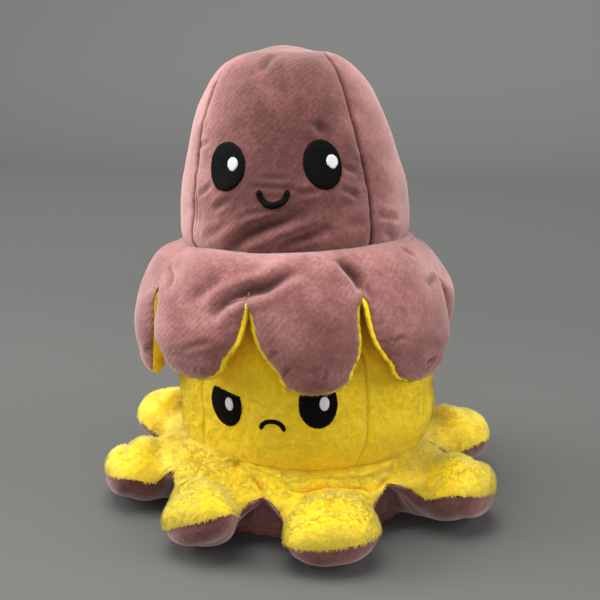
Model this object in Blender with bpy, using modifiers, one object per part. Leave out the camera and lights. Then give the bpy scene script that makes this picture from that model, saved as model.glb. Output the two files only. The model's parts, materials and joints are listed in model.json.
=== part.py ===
"""Two reversible plush octopuses, one sitting on the other's head.

The lower toy stands on its base ring and eight spread legs, yellow side out, with a frowning face.
The upper toy is the same kind of toy turned to its mauve side, with a smiling face. It sits on the lower
toy's crown, tipped back and to its right a little, and its eight legs hang down round that head.

Each toy is four sewn head panels over a body of stuffing, a tucked-in pocket of the other colour, a skirt
with a top cloth and a sole cloth, eight stuffed legs made of a cover half and a sole half, and an
embroidered face. A leg turns about the line where it is sewn to the skirt.

Metres, +Z up. The faces look along -Y, and the origin is on the floor under the middle of the lower toy.
"""

import math

import bmesh
import bpy
from mathutils import Matrix, Vector

# Cloth, thread and the clearance between pieces that touch
CLOTH = 0.0020
THREAD = 0.0012
TOUCH = 0.0003
OVERRUN = 0.010

# Lower toy, from the floor up
BASE_RADIUS = 0.050
FLANGE = 0.0030
LOWER_MOUTH = 0.036
LOWER_POCKET_DEPTH = 0.062
LOWER_SEAM_HEIGHT = 0.0150
LOWER_HINGE_HEIGHT = 0.0300
LOWER_HINGE_REACH = 0.0620
LOWER_SKIRT_LEAN = 0.0035
LOWER_SKIRT_INSIDE = 0.0510
LOWER_JUNCTION_HEIGHT = 0.036
LOWER_JUNCTION_RADIUS = 0.058
LOWER_HEAD_RADIUS = 0.0645
LOWER_HEAD_HEIGHT = 0.098
LOWER_TURN_DEGREES = -1.0
LOWER_FRONT_PANEL_DEGREES = 80.0

# The lower crown is part of a ball, so the upper toy sits on it the same however it is tipped
DOME_RADIUS = 0.060
DOME_EDGE_RADIUS = 0.040

# Upper toy: heights are above the lower toy's crown
UPPER_TIP_BACK_DEGREES = 5.0
UPPER_TIP_ASIDE_DEGREES = -3.0
UPPER_TURN_DEGREES = 1.5
UPPER_FRONT_PANEL_DEGREES = 102.0
UPPER_JUNCTION_RISE = 0.0045
UPPER_JUNCTION_RADIUS = 0.054
UPPER_HEAD_RADIUS = 0.0565
UPPER_HEAD_HEIGHT = 0.0935
UPPER_MOUTH = 0.031
UPPER_POCKET_DEPTH = 0.048
UPPER_SKIRT_INSIDE = 0.046
UPPER_HINGE_REACH = 0.0565
UPPER_HINGE_DROP = 0.0010
UPPER_SEAM_DROP = 0.0035
UPPER_SKIRT_THICKNESS = 0.0115

# Legs: the seam's length outwards and its fall from root to tip, and the width and fullness of each half
LOWER_LEG_LENGTH = 0.0380
LOWER_LEG_WIDTH = 0.0430
LOWER_LEG_COVER = 0.0150
LOWER_LEG_SOLE = 0.0150
UPPER_LEG_STANDOFF = 0.0135
UPPER_LEG_FALL = 0.0600
UPPER_LEG_WIDTH = 0.0455
UPPER_LEG_COVER = 0.0105
UPPER_LEG_SOLE = 0.0070
PRESSED_FLAT = 0.0005

# Leg directions round each toy in degrees, from its face towards its left hand
LOWER_LEG_BEARINGS = (23.4, 76.4, 119.4, 162.4, 206.4, 250.4, 291.4, 335.4)
UPPER_LEG_BEARINGS = (13.5, 55.5, 100.0, 147.0, 194.5, 241.5, 287.5, 332.0)

# Faces: widths and heights of the embroidery, and heights of its middle above the head's junction
EYE_WIDTH = 0.0185
EYE_HEIGHT = 0.0235
GLINT_WIDTH = 0.0055
GLINT_HEIGHT = 0.0080
GLINT_SIDE = 0.0028
GLINT_RISE = 0.0020
LOWER_GLINT_DROP = 0.0005
GLINT_THREAD = 0.0007
MOUTH_WIDTH = 0.0125
MOUTH_DEPTH = 0.0060
MOUTH_THREAD = 0.0011
LOWER_EYE_HEIGHT = 0.0343
LOWER_EYE_DEGREES = 20.6
LOWER_MOUTH_HEIGHT = 0.0255
LOWER_BROW_RISE = 0.0055
LOWER_BROW_SLOPE = 0.30
UPPER_EYE_HEIGHT = 0.0385
UPPER_EYE_DEGREES = 25.4
UPPER_MOUTH_HEIGHT = 0.0245

# Outlines as shares of a head's radius and height, from below the crown down to above the junction
LOWER_FLANK_SHARES = (
    (0.729, 0.776),
    (0.829, 0.699),
    (0.922, 0.602),
    (0.981, 0.495),
    (1.000, 0.388),
    (0.992, 0.265),
    (0.957, 0.122),
)
UPPER_HEAD_SHARES = (
    (0.270, 0.985),
    (0.520, 0.930),
    (0.680, 0.820),
    (0.800, 0.665),
    (0.900, 0.480),
    (0.970, 0.290),
    (1.000, 0.130),
)
# The pocket's wall as shares of its mouth's radius and of its depth
POCKET_SHARES = ((1.0, 0.0), (0.92, 0.16), (0.84, 0.56), (0.68, 0.84), (0.35, 0.97), (0.0, 1.0))

# Leg stations from root to tip, as shares: of the seam's length and fall, of half the width, and of the
# fullness of the cover and of the sole
LOWER_LEG_SHARES = (
    (0.00, 0.00, 1.10, 1.00, 0.62),
    (0.26, 0.00, 0.98, 1.06, 1.02),
    (0.60, 0.02, 1.14, 1.10, 1.12),
    (0.90, 0.04, 0.90, 0.88, 0.84),
    (1.00, 0.04, 0.40, 0.44, 0.40),
)
UPPER_LEG_SHARES = (
    (0.00, 0.00, 0.98, 1.00, 1.05),
    (0.80, 0.02, 1.16, 0.44, 1.30),
    (1.06, 0.20, 1.22, 0.74, 1.30),
    (1.12, 0.46, 1.18, 0.98, 1.10),
    (1.16, 0.74, 0.98, 0.90, 0.84),
    (1.16, 0.97, 0.44, 0.50, 0.40),
)
# Where a leg's upper corners lie across its width and height: at the root, where it is sewn wide, and beyond
ROOT_SHOULDER_SHARES = (0.80, 0.92)
LEG_SHOULDER_SHARES = (0.68, 0.82)
LEG_MIDDLE_SHARE = 1.08

HEAD_STEPS = 24
EYE_POINTS = 20
MOUTH_STEPS = 10
DOME_POINTS = 4

# Colours from the photograph: base colour, roughness
MAUVE = ((0.42, 0.19, 0.19), 0.85)
YELLOW = ((0.93, 0.66, 0.04), 0.92)
BLACK = ((0.008, 0.008, 0.010), 0.55)
WHITE = ((0.78, 0.77, 0.80), 0.55)
FILL = ((0.86, 0.86, 0.84), 0.95)

DOME_CENTRE = LOWER_JUNCTION_HEIGHT + LOWER_HEAD_HEIGHT - DOME_RADIUS
SEAT_RADIUS = DOME_RADIUS + TOUCH
UPPER_FOOT = DOME_RADIUS + UPPER_JUNCTION_RISE
UPPER_HINGE_HEIGHT = UPPER_FOOT - UPPER_HINGE_DROP
UPPER_SEAM_HEIGHT = UPPER_HINGE_HEIGHT - UPPER_SEAM_DROP
UPPER_SKIRT_UNDERSIDE = UPPER_FOOT - UPPER_SKIRT_THICKNESS


def clear_scene():
    """Takes away whatever the file held, and makes the two collections."""
    for old in list(bpy.data.objects):
        bpy.data.objects.remove(old)
    made = []
    for name in ("plush_octopus_pair", "cutters"):
        collection = bpy.data.collections.new(name)
        bpy.context.scene.collection.children.link(collection)
        made.append(collection)
    return made


def material(name, finish):
    """A cloth or thread material: its colour and roughness, not metallic."""
    colour, roughness = finish
    made = bpy.data.materials.new(name)
    made.use_nodes = True
    shader = made.node_tree.nodes["Principled BSDF"]
    shader.inputs["Base Color"].default_value = (*colour, 1.0)
    shader.inputs["Roughness"].default_value = roughness
    shader.inputs["Metallic"].default_value = 0.0
    made.diffuse_color = (*colour, 1.0)
    return made


def add_object(name, mesh, finish, parent, collection):
    """Puts a mesh in the scene under its parent, with its material."""
    made = bpy.data.objects.new(name, mesh)
    collection.objects.link(made)
    made.parent = parent
    if finish is not None:
        mesh.materials.append(finish)
    return made


def hide_helper(helper):
    """A cutter or guide is seen as wire and left out of the render."""
    helper.hide_render = True
    helper.display_type = "WIRE"
    return helper


def shade_softly(thing):
    """Smooth shading, but for the sharp edges of a cut or a rim."""
    thing.data.shade_smooth()
    thing.data.set_sharp_from_angle(angle=math.radians(50.0))


def offset_outline(points, distance):
    """The outline moved outwards, to the left of its direction of travel where that is up the outside."""
    moved = []
    for i, (radius, height) in enumerate(points):
        before = points[max(i - 1, 0)]
        after = points[min(i + 1, len(points) - 1)]
        first = Vector((radius - before[0], height - before[1]))
        second = Vector((after[0] - radius, after[1] - height))
        first = first.normalized() if first.length > 0 else second.normalized()
        second = second.normalized() if second.length > 0 else first
        along = (first + second).normalized()
        spread = max(along.dot(second), 0.5)
        normal = Vector((-along.y, along.x))
        if radius == 0.0:
            moved.append((0.0, height + distance))
            continue
        moved.append((radius + normal.x * distance / spread, height + normal.y * distance / spread))
    return moved


def profile_mesh(name, outline, closed):
    """A mesh of edges in the XZ plane, for a Screw modifier to turn."""
    mesh = bpy.data.meshes.new(name)
    points = [(radius, 0.0, height) for radius, height in outline]
    edges = [(i, i + 1) for i in range(len(points) - 1)]
    if closed:
        edges.append((len(points) - 1, 0))
    mesh.from_pydata(points, edges, [])
    return mesh


def turn_profile(thing, degrees, steps):
    """The Screw modifier that turns a profile round the toy's axis."""
    screw = thing.modifiers.new("turn", "SCREW")
    screw.angle = math.radians(degrees)
    screw.steps = steps
    screw.render_steps = steps
    screw.use_merge_vertices = True
    screw.merge_threshold = 0.00001
    return screw


def turned_solid(name, outline, closed, finish, parent, collection):
    """A body turned through a full circle: its outline runs down its outer side."""
    made = add_object(name, profile_mesh(name, outline, closed), finish, parent, collection)
    turn_profile(made, 360.0, HEAD_STEPS)
    return made


def applied_mesh(thing):
    """The object's mesh with its modifiers applied, in its own coordinates."""
    bpy.context.view_layer.update()
    graph = bpy.context.evaluated_depsgraph_get()
    return bpy.data.meshes.new_from_object(thing.evaluated_get(graph), depsgraph=graph)


def cut_away(thing, place, outward):
    """Cuts off what lies beyond a plane of the object's own frame, and closes the cut."""
    mesh = applied_mesh(thing)
    shape = bmesh.new()
    shape.from_mesh(mesh)
    everything = list(shape.verts) + list(shape.edges) + list(shape.faces)
    bmesh.ops.bisect_plane(shape, geom=everything, plane_co=place, plane_no=outward, clear_outer=True)
    rim = [edge for edge in shape.edges if edge.is_boundary]
    bmesh.ops.edgeloop_fill(shape, edges=rim)
    bmesh.ops.recalc_face_normals(shape, faces=shape.faces)
    shape.to_mesh(mesh)
    shape.free()
    thing.modifiers.clear()
    thing.data = mesh


def shell_outline(outline, outside, inside):
    """A shell's closed outline: down its outer side and back up its inner side, each set off the outline."""
    return offset_outline(outline, outside) + list(reversed(offset_outline(outline, inside)))


def gore_panel(name, outline, middle, degrees, finish, parent, collection):
    """One head panel: the head's shell of cloth cut at two seams, half a clearance from each seam line."""
    made = turned_solid(name, shell_outline(outline, 0.0, -CLOTH), False, finish, parent, collection)
    for way in (1, -1):
        seam = math.radians(middle + way * degrees / 2)
        outward = Vector((math.cos(seam), math.sin(seam), 0.0)) * way
        cut_away(made, outward * (-TOUCH / 2), outward)
    return made


def dome_arc(radius, edge, points):
    """Points on the ball from near its top out to the edge radius, as (radius, height above its centre)."""
    last = math.asin(edge / radius)
    arc = []
    for i in range(points + 1):
        angle = last * i / points
        arc.append((radius * math.sin(angle), radius * math.cos(angle)))
    return arc


def lower_head_outline():
    """The lower head from crown to junction: a ball's cap, then the flank squeezed by the weight above."""
    arc = dome_arc(DOME_RADIUS, DOME_EDGE_RADIUS, DOME_POINTS)
    cap = [(radius, DOME_CENTRE + rise) for radius, rise in arc]
    flank = [
        (LOWER_HEAD_RADIUS * wide, LOWER_JUNCTION_HEIGHT + LOWER_HEAD_HEIGHT * high)
        for wide, high in LOWER_FLANK_SHARES
    ]
    return cap + flank + [(LOWER_JUNCTION_RADIUS, LOWER_JUNCTION_HEIGHT)]


def upper_head_outline():
    """The upper head from crown to junction, in heights above the middle of the ball that it sits on."""
    foot, tall = UPPER_FOOT, UPPER_HEAD_HEIGHT
    flank = [(UPPER_HEAD_RADIUS * wide, foot + tall * high) for wide, high in UPPER_HEAD_SHARES]
    return [(0.0, foot + tall)] + flank + [(UPPER_JUNCTION_RADIUS, foot)]


def pocket_outline(mouth, depth, foot):
    """The pocket's wall from its mouth up to its ceiling."""
    return [(mouth * wide, foot + depth * high) for wide, high in POCKET_SHARES]


def seat_height(radius):
    """Height of the seat's ball above its centre, at a radius."""
    return math.sqrt(SEAT_RADIUS**2 - radius**2)


def head_panels(prefix, outline, front_degrees, finish, parent, collection):
    """Four cloth panels: the front one carries the face, the other three share what is left."""
    other = (360.0 - front_degrees) / 3
    bearing = front_degrees / 2 + other / 2
    spans = {
        "front_panel": (0.0, front_degrees),
        "left_panel": (bearing, other),
        "back_panel": (bearing + other, other),
        "right_panel": (-bearing, other),
    }
    for label, (middle, degrees) in spans.items():
        gore_panel(f"{prefix}_{label}", outline, middle, degrees, finish, parent, collection)


def frame_on_head(outline, bearing, height):
    """The place on a head's surface at a bearing from the face and a height: X to the side, Z out, Y up."""
    wall = next(
        (low, high) for high, low in zip(outline, outline[1:]) if low[1] <= height <= high[1]
    )
    (low_radius, low_height), (high_radius, high_height) = wall
    share = (height - low_height) / (high_height - low_height)
    radius = low_radius + (high_radius - low_radius) * share
    angle = math.radians(bearing)
    out = Vector((math.sin(angle), -math.cos(angle), 0.0))
    side = Vector((math.cos(angle), math.sin(angle), 0.0))
    slope = Vector((high_radius - low_radius, high_height - low_height)).normalized()
    up = out * slope.x + Vector((0.0, 0.0, slope.y))
    normal = side.cross(up)
    place = out * radius + Vector((0.0, 0.0, height))
    return Matrix((side, up, normal)).transposed().to_4x4(), place


def ellipse(width, height, points):
    """The corners of an ellipse, anticlockwise."""
    turns = [2 * math.pi * i / points for i in range(points)]
    return [(width / 2 * math.cos(turn), height / 2 * math.sin(turn)) for turn in turns]


def under_brow(corners, rise, slope):
    """The corners cut off by a straight brow line that falls towards the nose."""
    kept = []
    for (x0, y0), (x1, y1) in zip(corners, corners[1:] + corners[:1]):
        over0 = y0 - (rise + slope * x0)
        over1 = y1 - (rise + slope * x1)
        if over0 <= 0:
            kept.append((x0, y0))
        if over0 * over1 < 0:
            share = over0 / (over0 - over1)
            kept.append((x0 + (x1 - x0) * share, y0 + (y1 - y0) * share))
    return kept


def prism(corners, depth):
    """A bmesh prism on these corners, from depth below to depth above."""
    shape = bmesh.new()
    floor = [shape.verts.new((x, y, -depth)) for x, y in corners]
    face = shape.faces.new(list(reversed(floor)))
    raised = bmesh.ops.extrude_face_region(shape, geom=[face])
    lifted = [part for part in raised["geom"] if isinstance(part, bmesh.types.BMVert)]
    bmesh.ops.translate(shape, verts=lifted, vec=(0.0, 0.0, 2 * depth))
    bmesh.ops.recalc_face_normals(shape, faces=shape.faces)
    return shape


def face_skin(name, outline, inside, outside, parent, cutters):
    """A shell round the head, from one distance off the cloth to another, that trims the embroidery."""
    shell = shell_outline(outline, outside, inside)
    return hide_helper(turned_solid(name, shell, False, None, parent, cutters))


def embroidered_patch(name, corners, frame, skin, finish, parent, collection):
    """A flat outline pushed through the face skin, so that the patch follows the head."""
    turn, place = frame
    shape = prism(corners, OVERRUN)
    mesh = bpy.data.meshes.new(name)
    shape.to_mesh(mesh)
    shape.free()
    mesh.transform(Matrix.Translation(place) @ turn)
    patch = add_object(name, mesh, finish, parent, collection)
    trim = patch.modifiers.new("follow_head", "BOOLEAN")
    trim.operation = "INTERSECT"
    trim.solver = "EXACT"
    trim.object = skin
    return patch


def stitched_mouth(name, outline, height, way, finish, parent, collection):
    """A round cord of satin stitch along an arc on the head: way is 1 for a smile, -1 for a frown."""
    curve = bpy.data.curves.new(name, "CURVE")
    curve.dimensions = "3D"
    curve.bevel_depth = MOUTH_THREAD
    curve.bevel_resolution = 1
    curve.use_fill_caps = True
    strand = curve.splines.new("POLY")
    strand.points.add(MOUTH_STEPS)
    for i, point in enumerate(strand.points):
        turn = math.pi * i / MOUTH_STEPS
        side = -math.cos(turn) * MOUTH_WIDTH / 2
        drop = way * (0.5 - math.sin(turn)) * MOUTH_DEPTH
        bearing = math.degrees(side / outline[-1][0])
        frame, place = frame_on_head(outline, bearing, height + drop)
        out = frame @ Vector((0.0, 0.0, MOUTH_THREAD + 2 * TOUCH))
        point.co = (*(place + out), 1.0)
    made = bpy.data.objects.new(name, curve)
    collection.objects.link(made)
    made.parent = parent
    curve.materials.append(finish)
    return made


def embroider_face(prefix, outline, sizes, finishes, parent, collection, cutters):
    """Two eyes with glints and a mouth. Only the frowning face has a brow line."""
    foot = outline[-1][1]
    thread, glint_thread = finishes
    eye_skin = face_skin(f"{prefix}_eye_skin", outline, TOUCH, TOUCH + THREAD, parent, cutters)
    glint_foot = 2 * TOUCH + THREAD
    glint_top = glint_foot + GLINT_THREAD
    glint_skin = face_skin(f"{prefix}_glint_skin", outline, glint_foot, glint_top, parent, cutters)
    for label, side in (("left", 1), ("right", -1)):
        bearing = side * sizes["eye_degrees"]
        frame = frame_on_head(outline, bearing, foot + sizes["eye_height"])
        corners = ellipse(EYE_WIDTH, EYE_HEIGHT, EYE_POINTS)
        if sizes["brow"]:
            corners = under_brow(corners, LOWER_BROW_RISE, side * LOWER_BROW_SLOPE)
        embroidered_patch(f"{prefix}_{label}_eye", corners, frame, eye_skin, thread, parent, collection)
        spot = ellipse(GLINT_WIDTH, GLINT_HEIGHT, EYE_POINTS // 2)
        spot = [(x + GLINT_SIDE, y + sizes["glint_rise"]) for x, y in spot]
        glint = f"{prefix}_{label}_glint"
        embroidered_patch(glint, spot, frame, glint_skin, glint_thread, parent, collection)
    height = foot + sizes["mouth_height"]
    stitched_mouth(f"{prefix}_mouth", outline, height, sizes["smile"], thread, parent, collection)


def leg_rings(sizes, shares, side):
    """Five corners at each station of half a leg, as (outward, across, up) from the middle of its hinge line.

    The seam runs out from the root and may fall. At the root the half reaches back to the skirt's wall, whose
    upper part leans, and beyond it each ring stands square to the seam.
    """
    lean, drop = sizes["lean"], sizes["seam_drop"]
    seam = [
        Vector((TOUCH + lean + along * sizes["length"], -drop - fall * sizes["fall"]))
        for along, fall, _, _, _ in shares
    ]
    rings = []
    for i, station in enumerate(shares):
        if i == 0:
            up = Vector((-lean, drop)).normalized() if side > 0 else Vector((0.0, 1.0))
            across, high = ROOT_SHOULDER_SHARES
            middle = 1.0
        else:
            along = (seam[min(i + 1, len(seam) - 1)] - seam[i - 1]).normalized()
            up = Vector((-along.y, along.x))
            across, high = LEG_SHOULDER_SHARES
            middle = LEG_MIDDLE_SHARE
        wide = station[2] * sizes["width"] / 2
        if side > 0:
            full = station[3] * (Vector((lean, drop)).length if i == 0 else sizes["cover"])
        else:
            full = station[4] * sizes["sole"]
        foot = seam[i] + up * (side * TOUCH / 2)
        ring = []
        for y, rise in ((-1.0, 0.0), (-across, high), (0.0, middle), (across, high), (1.0, 0.0)):
            point = foot + up * (side * rise * full)
            ring.append((point.x, y * wide, point.y))
        rings.append(ring)
    return rings


def leg_half(name, rings, flat_at, finish, parent, collection):
    """Half of a stuffed leg, on one side of its seam: a coarse cage that Subdivision Surface rounds."""
    cage = bmesh.new()
    crease = cage.edges.layers.float.new("crease_edge")
    loops = [[cage.verts.new(corner) for corner in ring] for ring in rings]
    for first, second in zip(loops, loops[1:]):
        for i in range(len(first)):
            j = (i + 1) % len(first)
            cage.faces.new((first[i], first[j], second[j], second[i]))
    cage.faces.new(loops[0])
    cage.faces.new(loops[-1])
    bmesh.ops.recalc_face_normals(cage, faces=cage.faces)
    rims = [loop[0] for loop in loops], [loop[-1] for loop in loops]
    for edge in cage.edges:
        on_root = all(corner in loops[0] for corner in edge.verts)
        on_seam = any(all(corner in rim for corner in edge.verts) for rim in rims)
        across_tip = all(corner in (loops[-1][0], loops[-1][-1]) for corner in edge.verts)
        if on_root or on_seam or across_tip:
            edge[crease] = 1.0
    mesh = bpy.data.meshes.new(name)
    cage.to_mesh(mesh)
    cage.free()
    made = add_object(name, mesh, finish, parent, collection)
    rounding = made.modifiers.new("stuffed", "SUBSURF")
    rounding.levels = 1
    rounding.render_levels = 1
    if flat_at is not None:
        cut_away(made, Vector((0.0, 0.0, flat_at)), Vector((0.0, 0.0, -1.0)))
    return made


def hinge_empty(name, parent, location, bearing, collection):
    """The hinge line of a leg: X points along the leg, Y lies along the line of stitching."""
    empty = bpy.data.objects.new(name, None)
    collection.objects.link(empty)
    empty.parent = parent
    outward = Matrix.Rotation(math.radians(bearing - 90.0), 4, "Z")
    empty.matrix_local = Matrix.Translation(location) @ outward
    empty.empty_display_size = LOWER_LEG_WIDTH / 4
    return empty


def add_legs(prefix, bearings, sizes, shares, finishes, parent, collection):
    """Eight legs, each on its own hinge line, with a cover half and a sole half.

    A leg is no wider than the room that its nearest neighbour leaves it on the skirt.
    """
    cover, sole = finishes
    reach = sizes["reach"]
    for number, bearing in enumerate(bearings, start=1):
        others = [other for other in bearings if other != bearing]
        room = min(abs((other - bearing + 180.0) % 360.0 - 180.0) for other in others)
        fitting = 2.0 * (reach + sizes["lean"]) * math.tan(math.radians(room / 2.0))
        own = {**sizes, "width": min(sizes["width"], fitting)}
        angle = math.radians(bearing)
        place = Vector((reach * math.sin(angle), -reach * math.cos(angle), sizes["height"]))
        label = f"{prefix}_leg_{number}"
        hinge = hinge_empty(f"{label}_hinge", parent, place, bearing, collection)
        above = leg_rings(own, shares, 1)
        below = leg_rings(own, shares, -1)
        leg_half(f"{label}_cover", above, None, cover, hinge, collection)
        leg_half(f"{label}_sole", below, sizes["flat_at"], sole, hinge, collection)


def toy_axis(name, location, turn, tip, aside, collection):
    """The empty that carries a toy: turned about its own axis, tipped back, then tipped to the side."""
    empty = bpy.data.objects.new(name, None)
    collection.objects.link(empty)
    spin = Matrix.Rotation(math.radians(turn), 4, "Z")
    lean = Matrix.Rotation(math.radians(-tip), 4, "X")
    sway = Matrix.Rotation(math.radians(aside), 4, "Y")
    empty.matrix_world = Matrix.Translation(location) @ sway @ lean @ spin
    return empty


def lower_skirt(cover, sole, toy, collection):
    """The ring of cloth between the lower head and the legs, and the base ring that the toy stands on."""
    inside = LOWER_SKIRT_INSIDE
    top = LOWER_JUNCTION_HEIGHT - TOUCH
    wall = LOWER_HINGE_REACH + LOWER_SKIRT_LEAN
    seam_top = LOWER_SEAM_HEIGHT + TOUCH / 2
    seam_under = LOWER_SEAM_HEIGHT - TOUCH / 2
    cloth_top = [
        (LOWER_JUNCTION_RADIUS, top),
        (LOWER_HINGE_REACH, LOWER_HINGE_HEIGHT),
        (wall, seam_top),
        (inside, seam_top),
        (inside, top),
    ]
    turned_solid("lower_skirt_top", cloth_top, True, cover, toy, collection)
    inner = LOWER_MOUTH + CLOTH + TOUCH
    cloth_under = [
        (wall, seam_under),
        (wall, LOWER_SEAM_HEIGHT - LOWER_LEG_SOLE * LOWER_LEG_SHARES[0][4]),
        ((wall + BASE_RADIUS) / 2, LOWER_SEAM_HEIGHT / 8),
        (BASE_RADIUS, 0.0),
        (inner, 0.0),
        (inner, FLANGE),
        (inside, FLANGE),
        (inside, seam_under),
    ]
    turned_solid("lower_skirt_sole", cloth_under, True, sole, toy, collection)


def lower_inside(outline, lining_finish, fill_finish, toy, collection):
    """The tucked-in pocket, and the stuffing between it and the head."""
    wall = pocket_outline(LOWER_MOUTH, LOWER_POCKET_DEPTH, 0.0)
    back = list(reversed(offset_outline(list(reversed(wall)), CLOTH)))
    back[0] = (LOWER_MOUTH + CLOTH, 0.0)
    lining = list(reversed(back)) + wall
    turned_solid("lower_pocket_lining", lining, False, lining_finish, toy, collection)
    behind = list(reversed(offset_outline(list(reversed(wall)), CLOTH + TOUCH)))
    foot = FLANGE + TOUCH
    behind[0] = (LOWER_MOUTH + CLOTH + 2 * TOUCH, foot)
    under_cloth = offset_outline(outline, -(CLOTH + TOUCH))
    waist = LOWER_SKIRT_INSIDE - TOUCH
    level = LOWER_JUNCTION_HEIGHT + TOUCH
    stuffing = under_cloth[:-1] + [
        (under_cloth[-1][0], level),
        (waist, level),
        (waist, foot),
    ]
    turned_solid("lower_head_stuffing", stuffing + behind, False, fill_finish, toy, collection)


def upper_skirt(cover, sole, toy, collection):
    """The ring of cloth under the upper head that carries its legs, and the rim on the crown below."""
    reach, inside = UPPER_HINGE_REACH, UPPER_SKIRT_INSIDE
    top = UPPER_FOOT - TOUCH
    seam_top = UPPER_SEAM_HEIGHT + TOUCH / 2
    seam_under = UPPER_SEAM_HEIGHT - TOUCH / 2
    cloth_top = [
        (UPPER_JUNCTION_RADIUS, top),
        (reach, UPPER_HINGE_HEIGHT),
        (reach, seam_top),
        (inside, seam_top),
        (inside, top),
    ]
    turned_solid("upper_skirt_top", cloth_top, True, cover, toy, collection)
    mouth = UPPER_MOUTH + CLOTH + TOUCH
    seat = dome_arc(SEAT_RADIUS, DOME_EDGE_RADIUS, DOME_POINTS * 2)
    seat = [point for point in reversed(seat) if point[0] > mouth]
    cloth_under = [
        (reach, seam_under),
        (reach, UPPER_SKIRT_UNDERSIDE),
        ((reach + DOME_EDGE_RADIUS) / 2, (UPPER_SKIRT_UNDERSIDE + seat[0][1]) / 2 - FLANGE / 2),
        *seat,
        (mouth, seat_height(mouth)),
        (mouth, seat_height(mouth) + FLANGE),
        (inside - FLANGE, seat_height(DOME_EDGE_RADIUS) + 2 * FLANGE),
        (inside, seam_under),
    ]
    turned_solid("upper_skirt_sole", cloth_under, True, sole, toy, collection)


def upper_inside(outline, lining_finish, fill_finish, toy, collection):
    """The upper pocket, whose mouth sits on the lower crown, and the stuffing round it."""
    foot = seat_height(UPPER_MOUTH)
    wall = pocket_outline(UPPER_MOUTH, UPPER_POCKET_DEPTH, foot)
    back = list(reversed(offset_outline(list(reversed(wall)), CLOTH)))
    back[0] = (UPPER_MOUTH + CLOTH, seat_height(UPPER_MOUTH + CLOTH))
    lining = list(reversed(back)) + wall
    turned_solid("upper_pocket_lining", lining, False, lining_finish, toy, collection)
    behind = list(reversed(offset_outline(list(reversed(wall)), CLOTH + TOUCH)))
    mouth = UPPER_MOUTH + CLOTH + 2 * TOUCH
    behind[0] = (mouth, seat_height(mouth) + FLANGE + 2 * TOUCH)
    under_cloth = offset_outline(outline, -(CLOTH + TOUCH))
    level = UPPER_FOOT + TOUCH
    waist = UPPER_SKIRT_INSIDE - TOUCH
    stuffing = under_cloth[:-1] + [
        (under_cloth[-1][0], level),
        (waist, level),
        (waist, UPPER_SEAM_HEIGHT),
        (waist - FLANGE, seat_height(DOME_EDGE_RADIUS) + 2 * FLANGE + 2 * TOUCH),
    ]
    turned_solid("upper_head_stuffing", stuffing + behind, False, fill_finish, toy, collection)


def build_lower_toy(finishes, collection, cutters):
    """The toy that stands on the floor, yellow side out."""
    foot = Vector((0.0, 0.0, 0.0))
    toy = toy_axis("lower_toy_axis", foot, LOWER_TURN_DEGREES, 0.0, 0.0, collection)
    outline = lower_head_outline()
    yellow, mauve, black, white, fill = finishes
    head_panels("lower", outline, LOWER_FRONT_PANEL_DEGREES, yellow, toy, collection)
    lower_skirt(yellow, mauve, toy, collection)
    lower_inside(outline, mauve, fill, toy, collection)
    face = {
        "eye_degrees": LOWER_EYE_DEGREES,
        "eye_height": LOWER_EYE_HEIGHT,
        "mouth_height": LOWER_MOUTH_HEIGHT,
        "glint_rise": -LOWER_GLINT_DROP,
        "brow": True,
        "smile": -1,
    }
    embroider_face("lower", outline, face, (black, white), toy, collection, cutters)
    legs = {
        "reach": LOWER_HINGE_REACH,
        "height": LOWER_HINGE_HEIGHT,
        "lean": LOWER_SKIRT_LEAN,
        "seam_drop": LOWER_HINGE_HEIGHT - LOWER_SEAM_HEIGHT,
        "length": LOWER_LEG_LENGTH,
        "fall": 0.0,
        "width": LOWER_LEG_WIDTH,
        "cover": LOWER_LEG_COVER,
        "sole": LOWER_LEG_SOLE + PRESSED_FLAT,
        "flat_at": -LOWER_HINGE_HEIGHT,
    }
    add_legs("lower", LOWER_LEG_BEARINGS, legs, LOWER_LEG_SHARES, (yellow, mauve), toy, collection)


def build_upper_toy(finishes, collection, cutters):
    """The toy that sits on the lower crown, mauve side out."""
    centre = Vector((0.0, 0.0, DOME_CENTRE))
    tip, aside = UPPER_TIP_BACK_DEGREES, UPPER_TIP_ASIDE_DEGREES
    toy = toy_axis("upper_toy_axis", centre, UPPER_TURN_DEGREES, tip, aside, collection)
    outline = upper_head_outline()
    yellow, mauve, black, white, fill = finishes
    head_panels("upper", outline, UPPER_FRONT_PANEL_DEGREES, mauve, toy, collection)
    upper_skirt(mauve, yellow, toy, collection)
    upper_inside(outline, yellow, fill, toy, collection)
    face = {
        "eye_degrees": UPPER_EYE_DEGREES,
        "eye_height": UPPER_EYE_HEIGHT,
        "mouth_height": UPPER_MOUTH_HEIGHT,
        "glint_rise": GLINT_RISE,
        "brow": False,
        "smile": 1,
    }
    embroider_face("upper", outline, face, (black, white), toy, collection, cutters)
    legs = {
        "reach": UPPER_HINGE_REACH,
        "height": UPPER_HINGE_HEIGHT,
        "lean": 0.0,
        "seam_drop": UPPER_SEAM_DROP,
        "length": UPPER_LEG_STANDOFF,
        "fall": UPPER_LEG_FALL,
        "width": UPPER_LEG_WIDTH,
        "cover": UPPER_LEG_COVER,
        "sole": UPPER_LEG_SOLE,
        "flat_at": None,
    }
    add_legs("upper", UPPER_LEG_BEARINGS, legs, UPPER_LEG_SHARES, (mauve, yellow), toy, collection)


def main():
    collection, cutters = clear_scene()
    finishes = (
        material("yellow_plush", YELLOW),
        material("mauve_velvet", MAUVE),
        material("black_thread", BLACK),
        material("white_thread", WHITE),
        material("polyester_fill", FILL),
    )
    build_lower_toy(finishes, collection, cutters)
    build_upper_toy(finishes, collection, cutters)
    bpy.context.view_layer.update()
    for part in collection.objects:
        if part.type == "MESH":
            shade_softly(part)


main()
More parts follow.
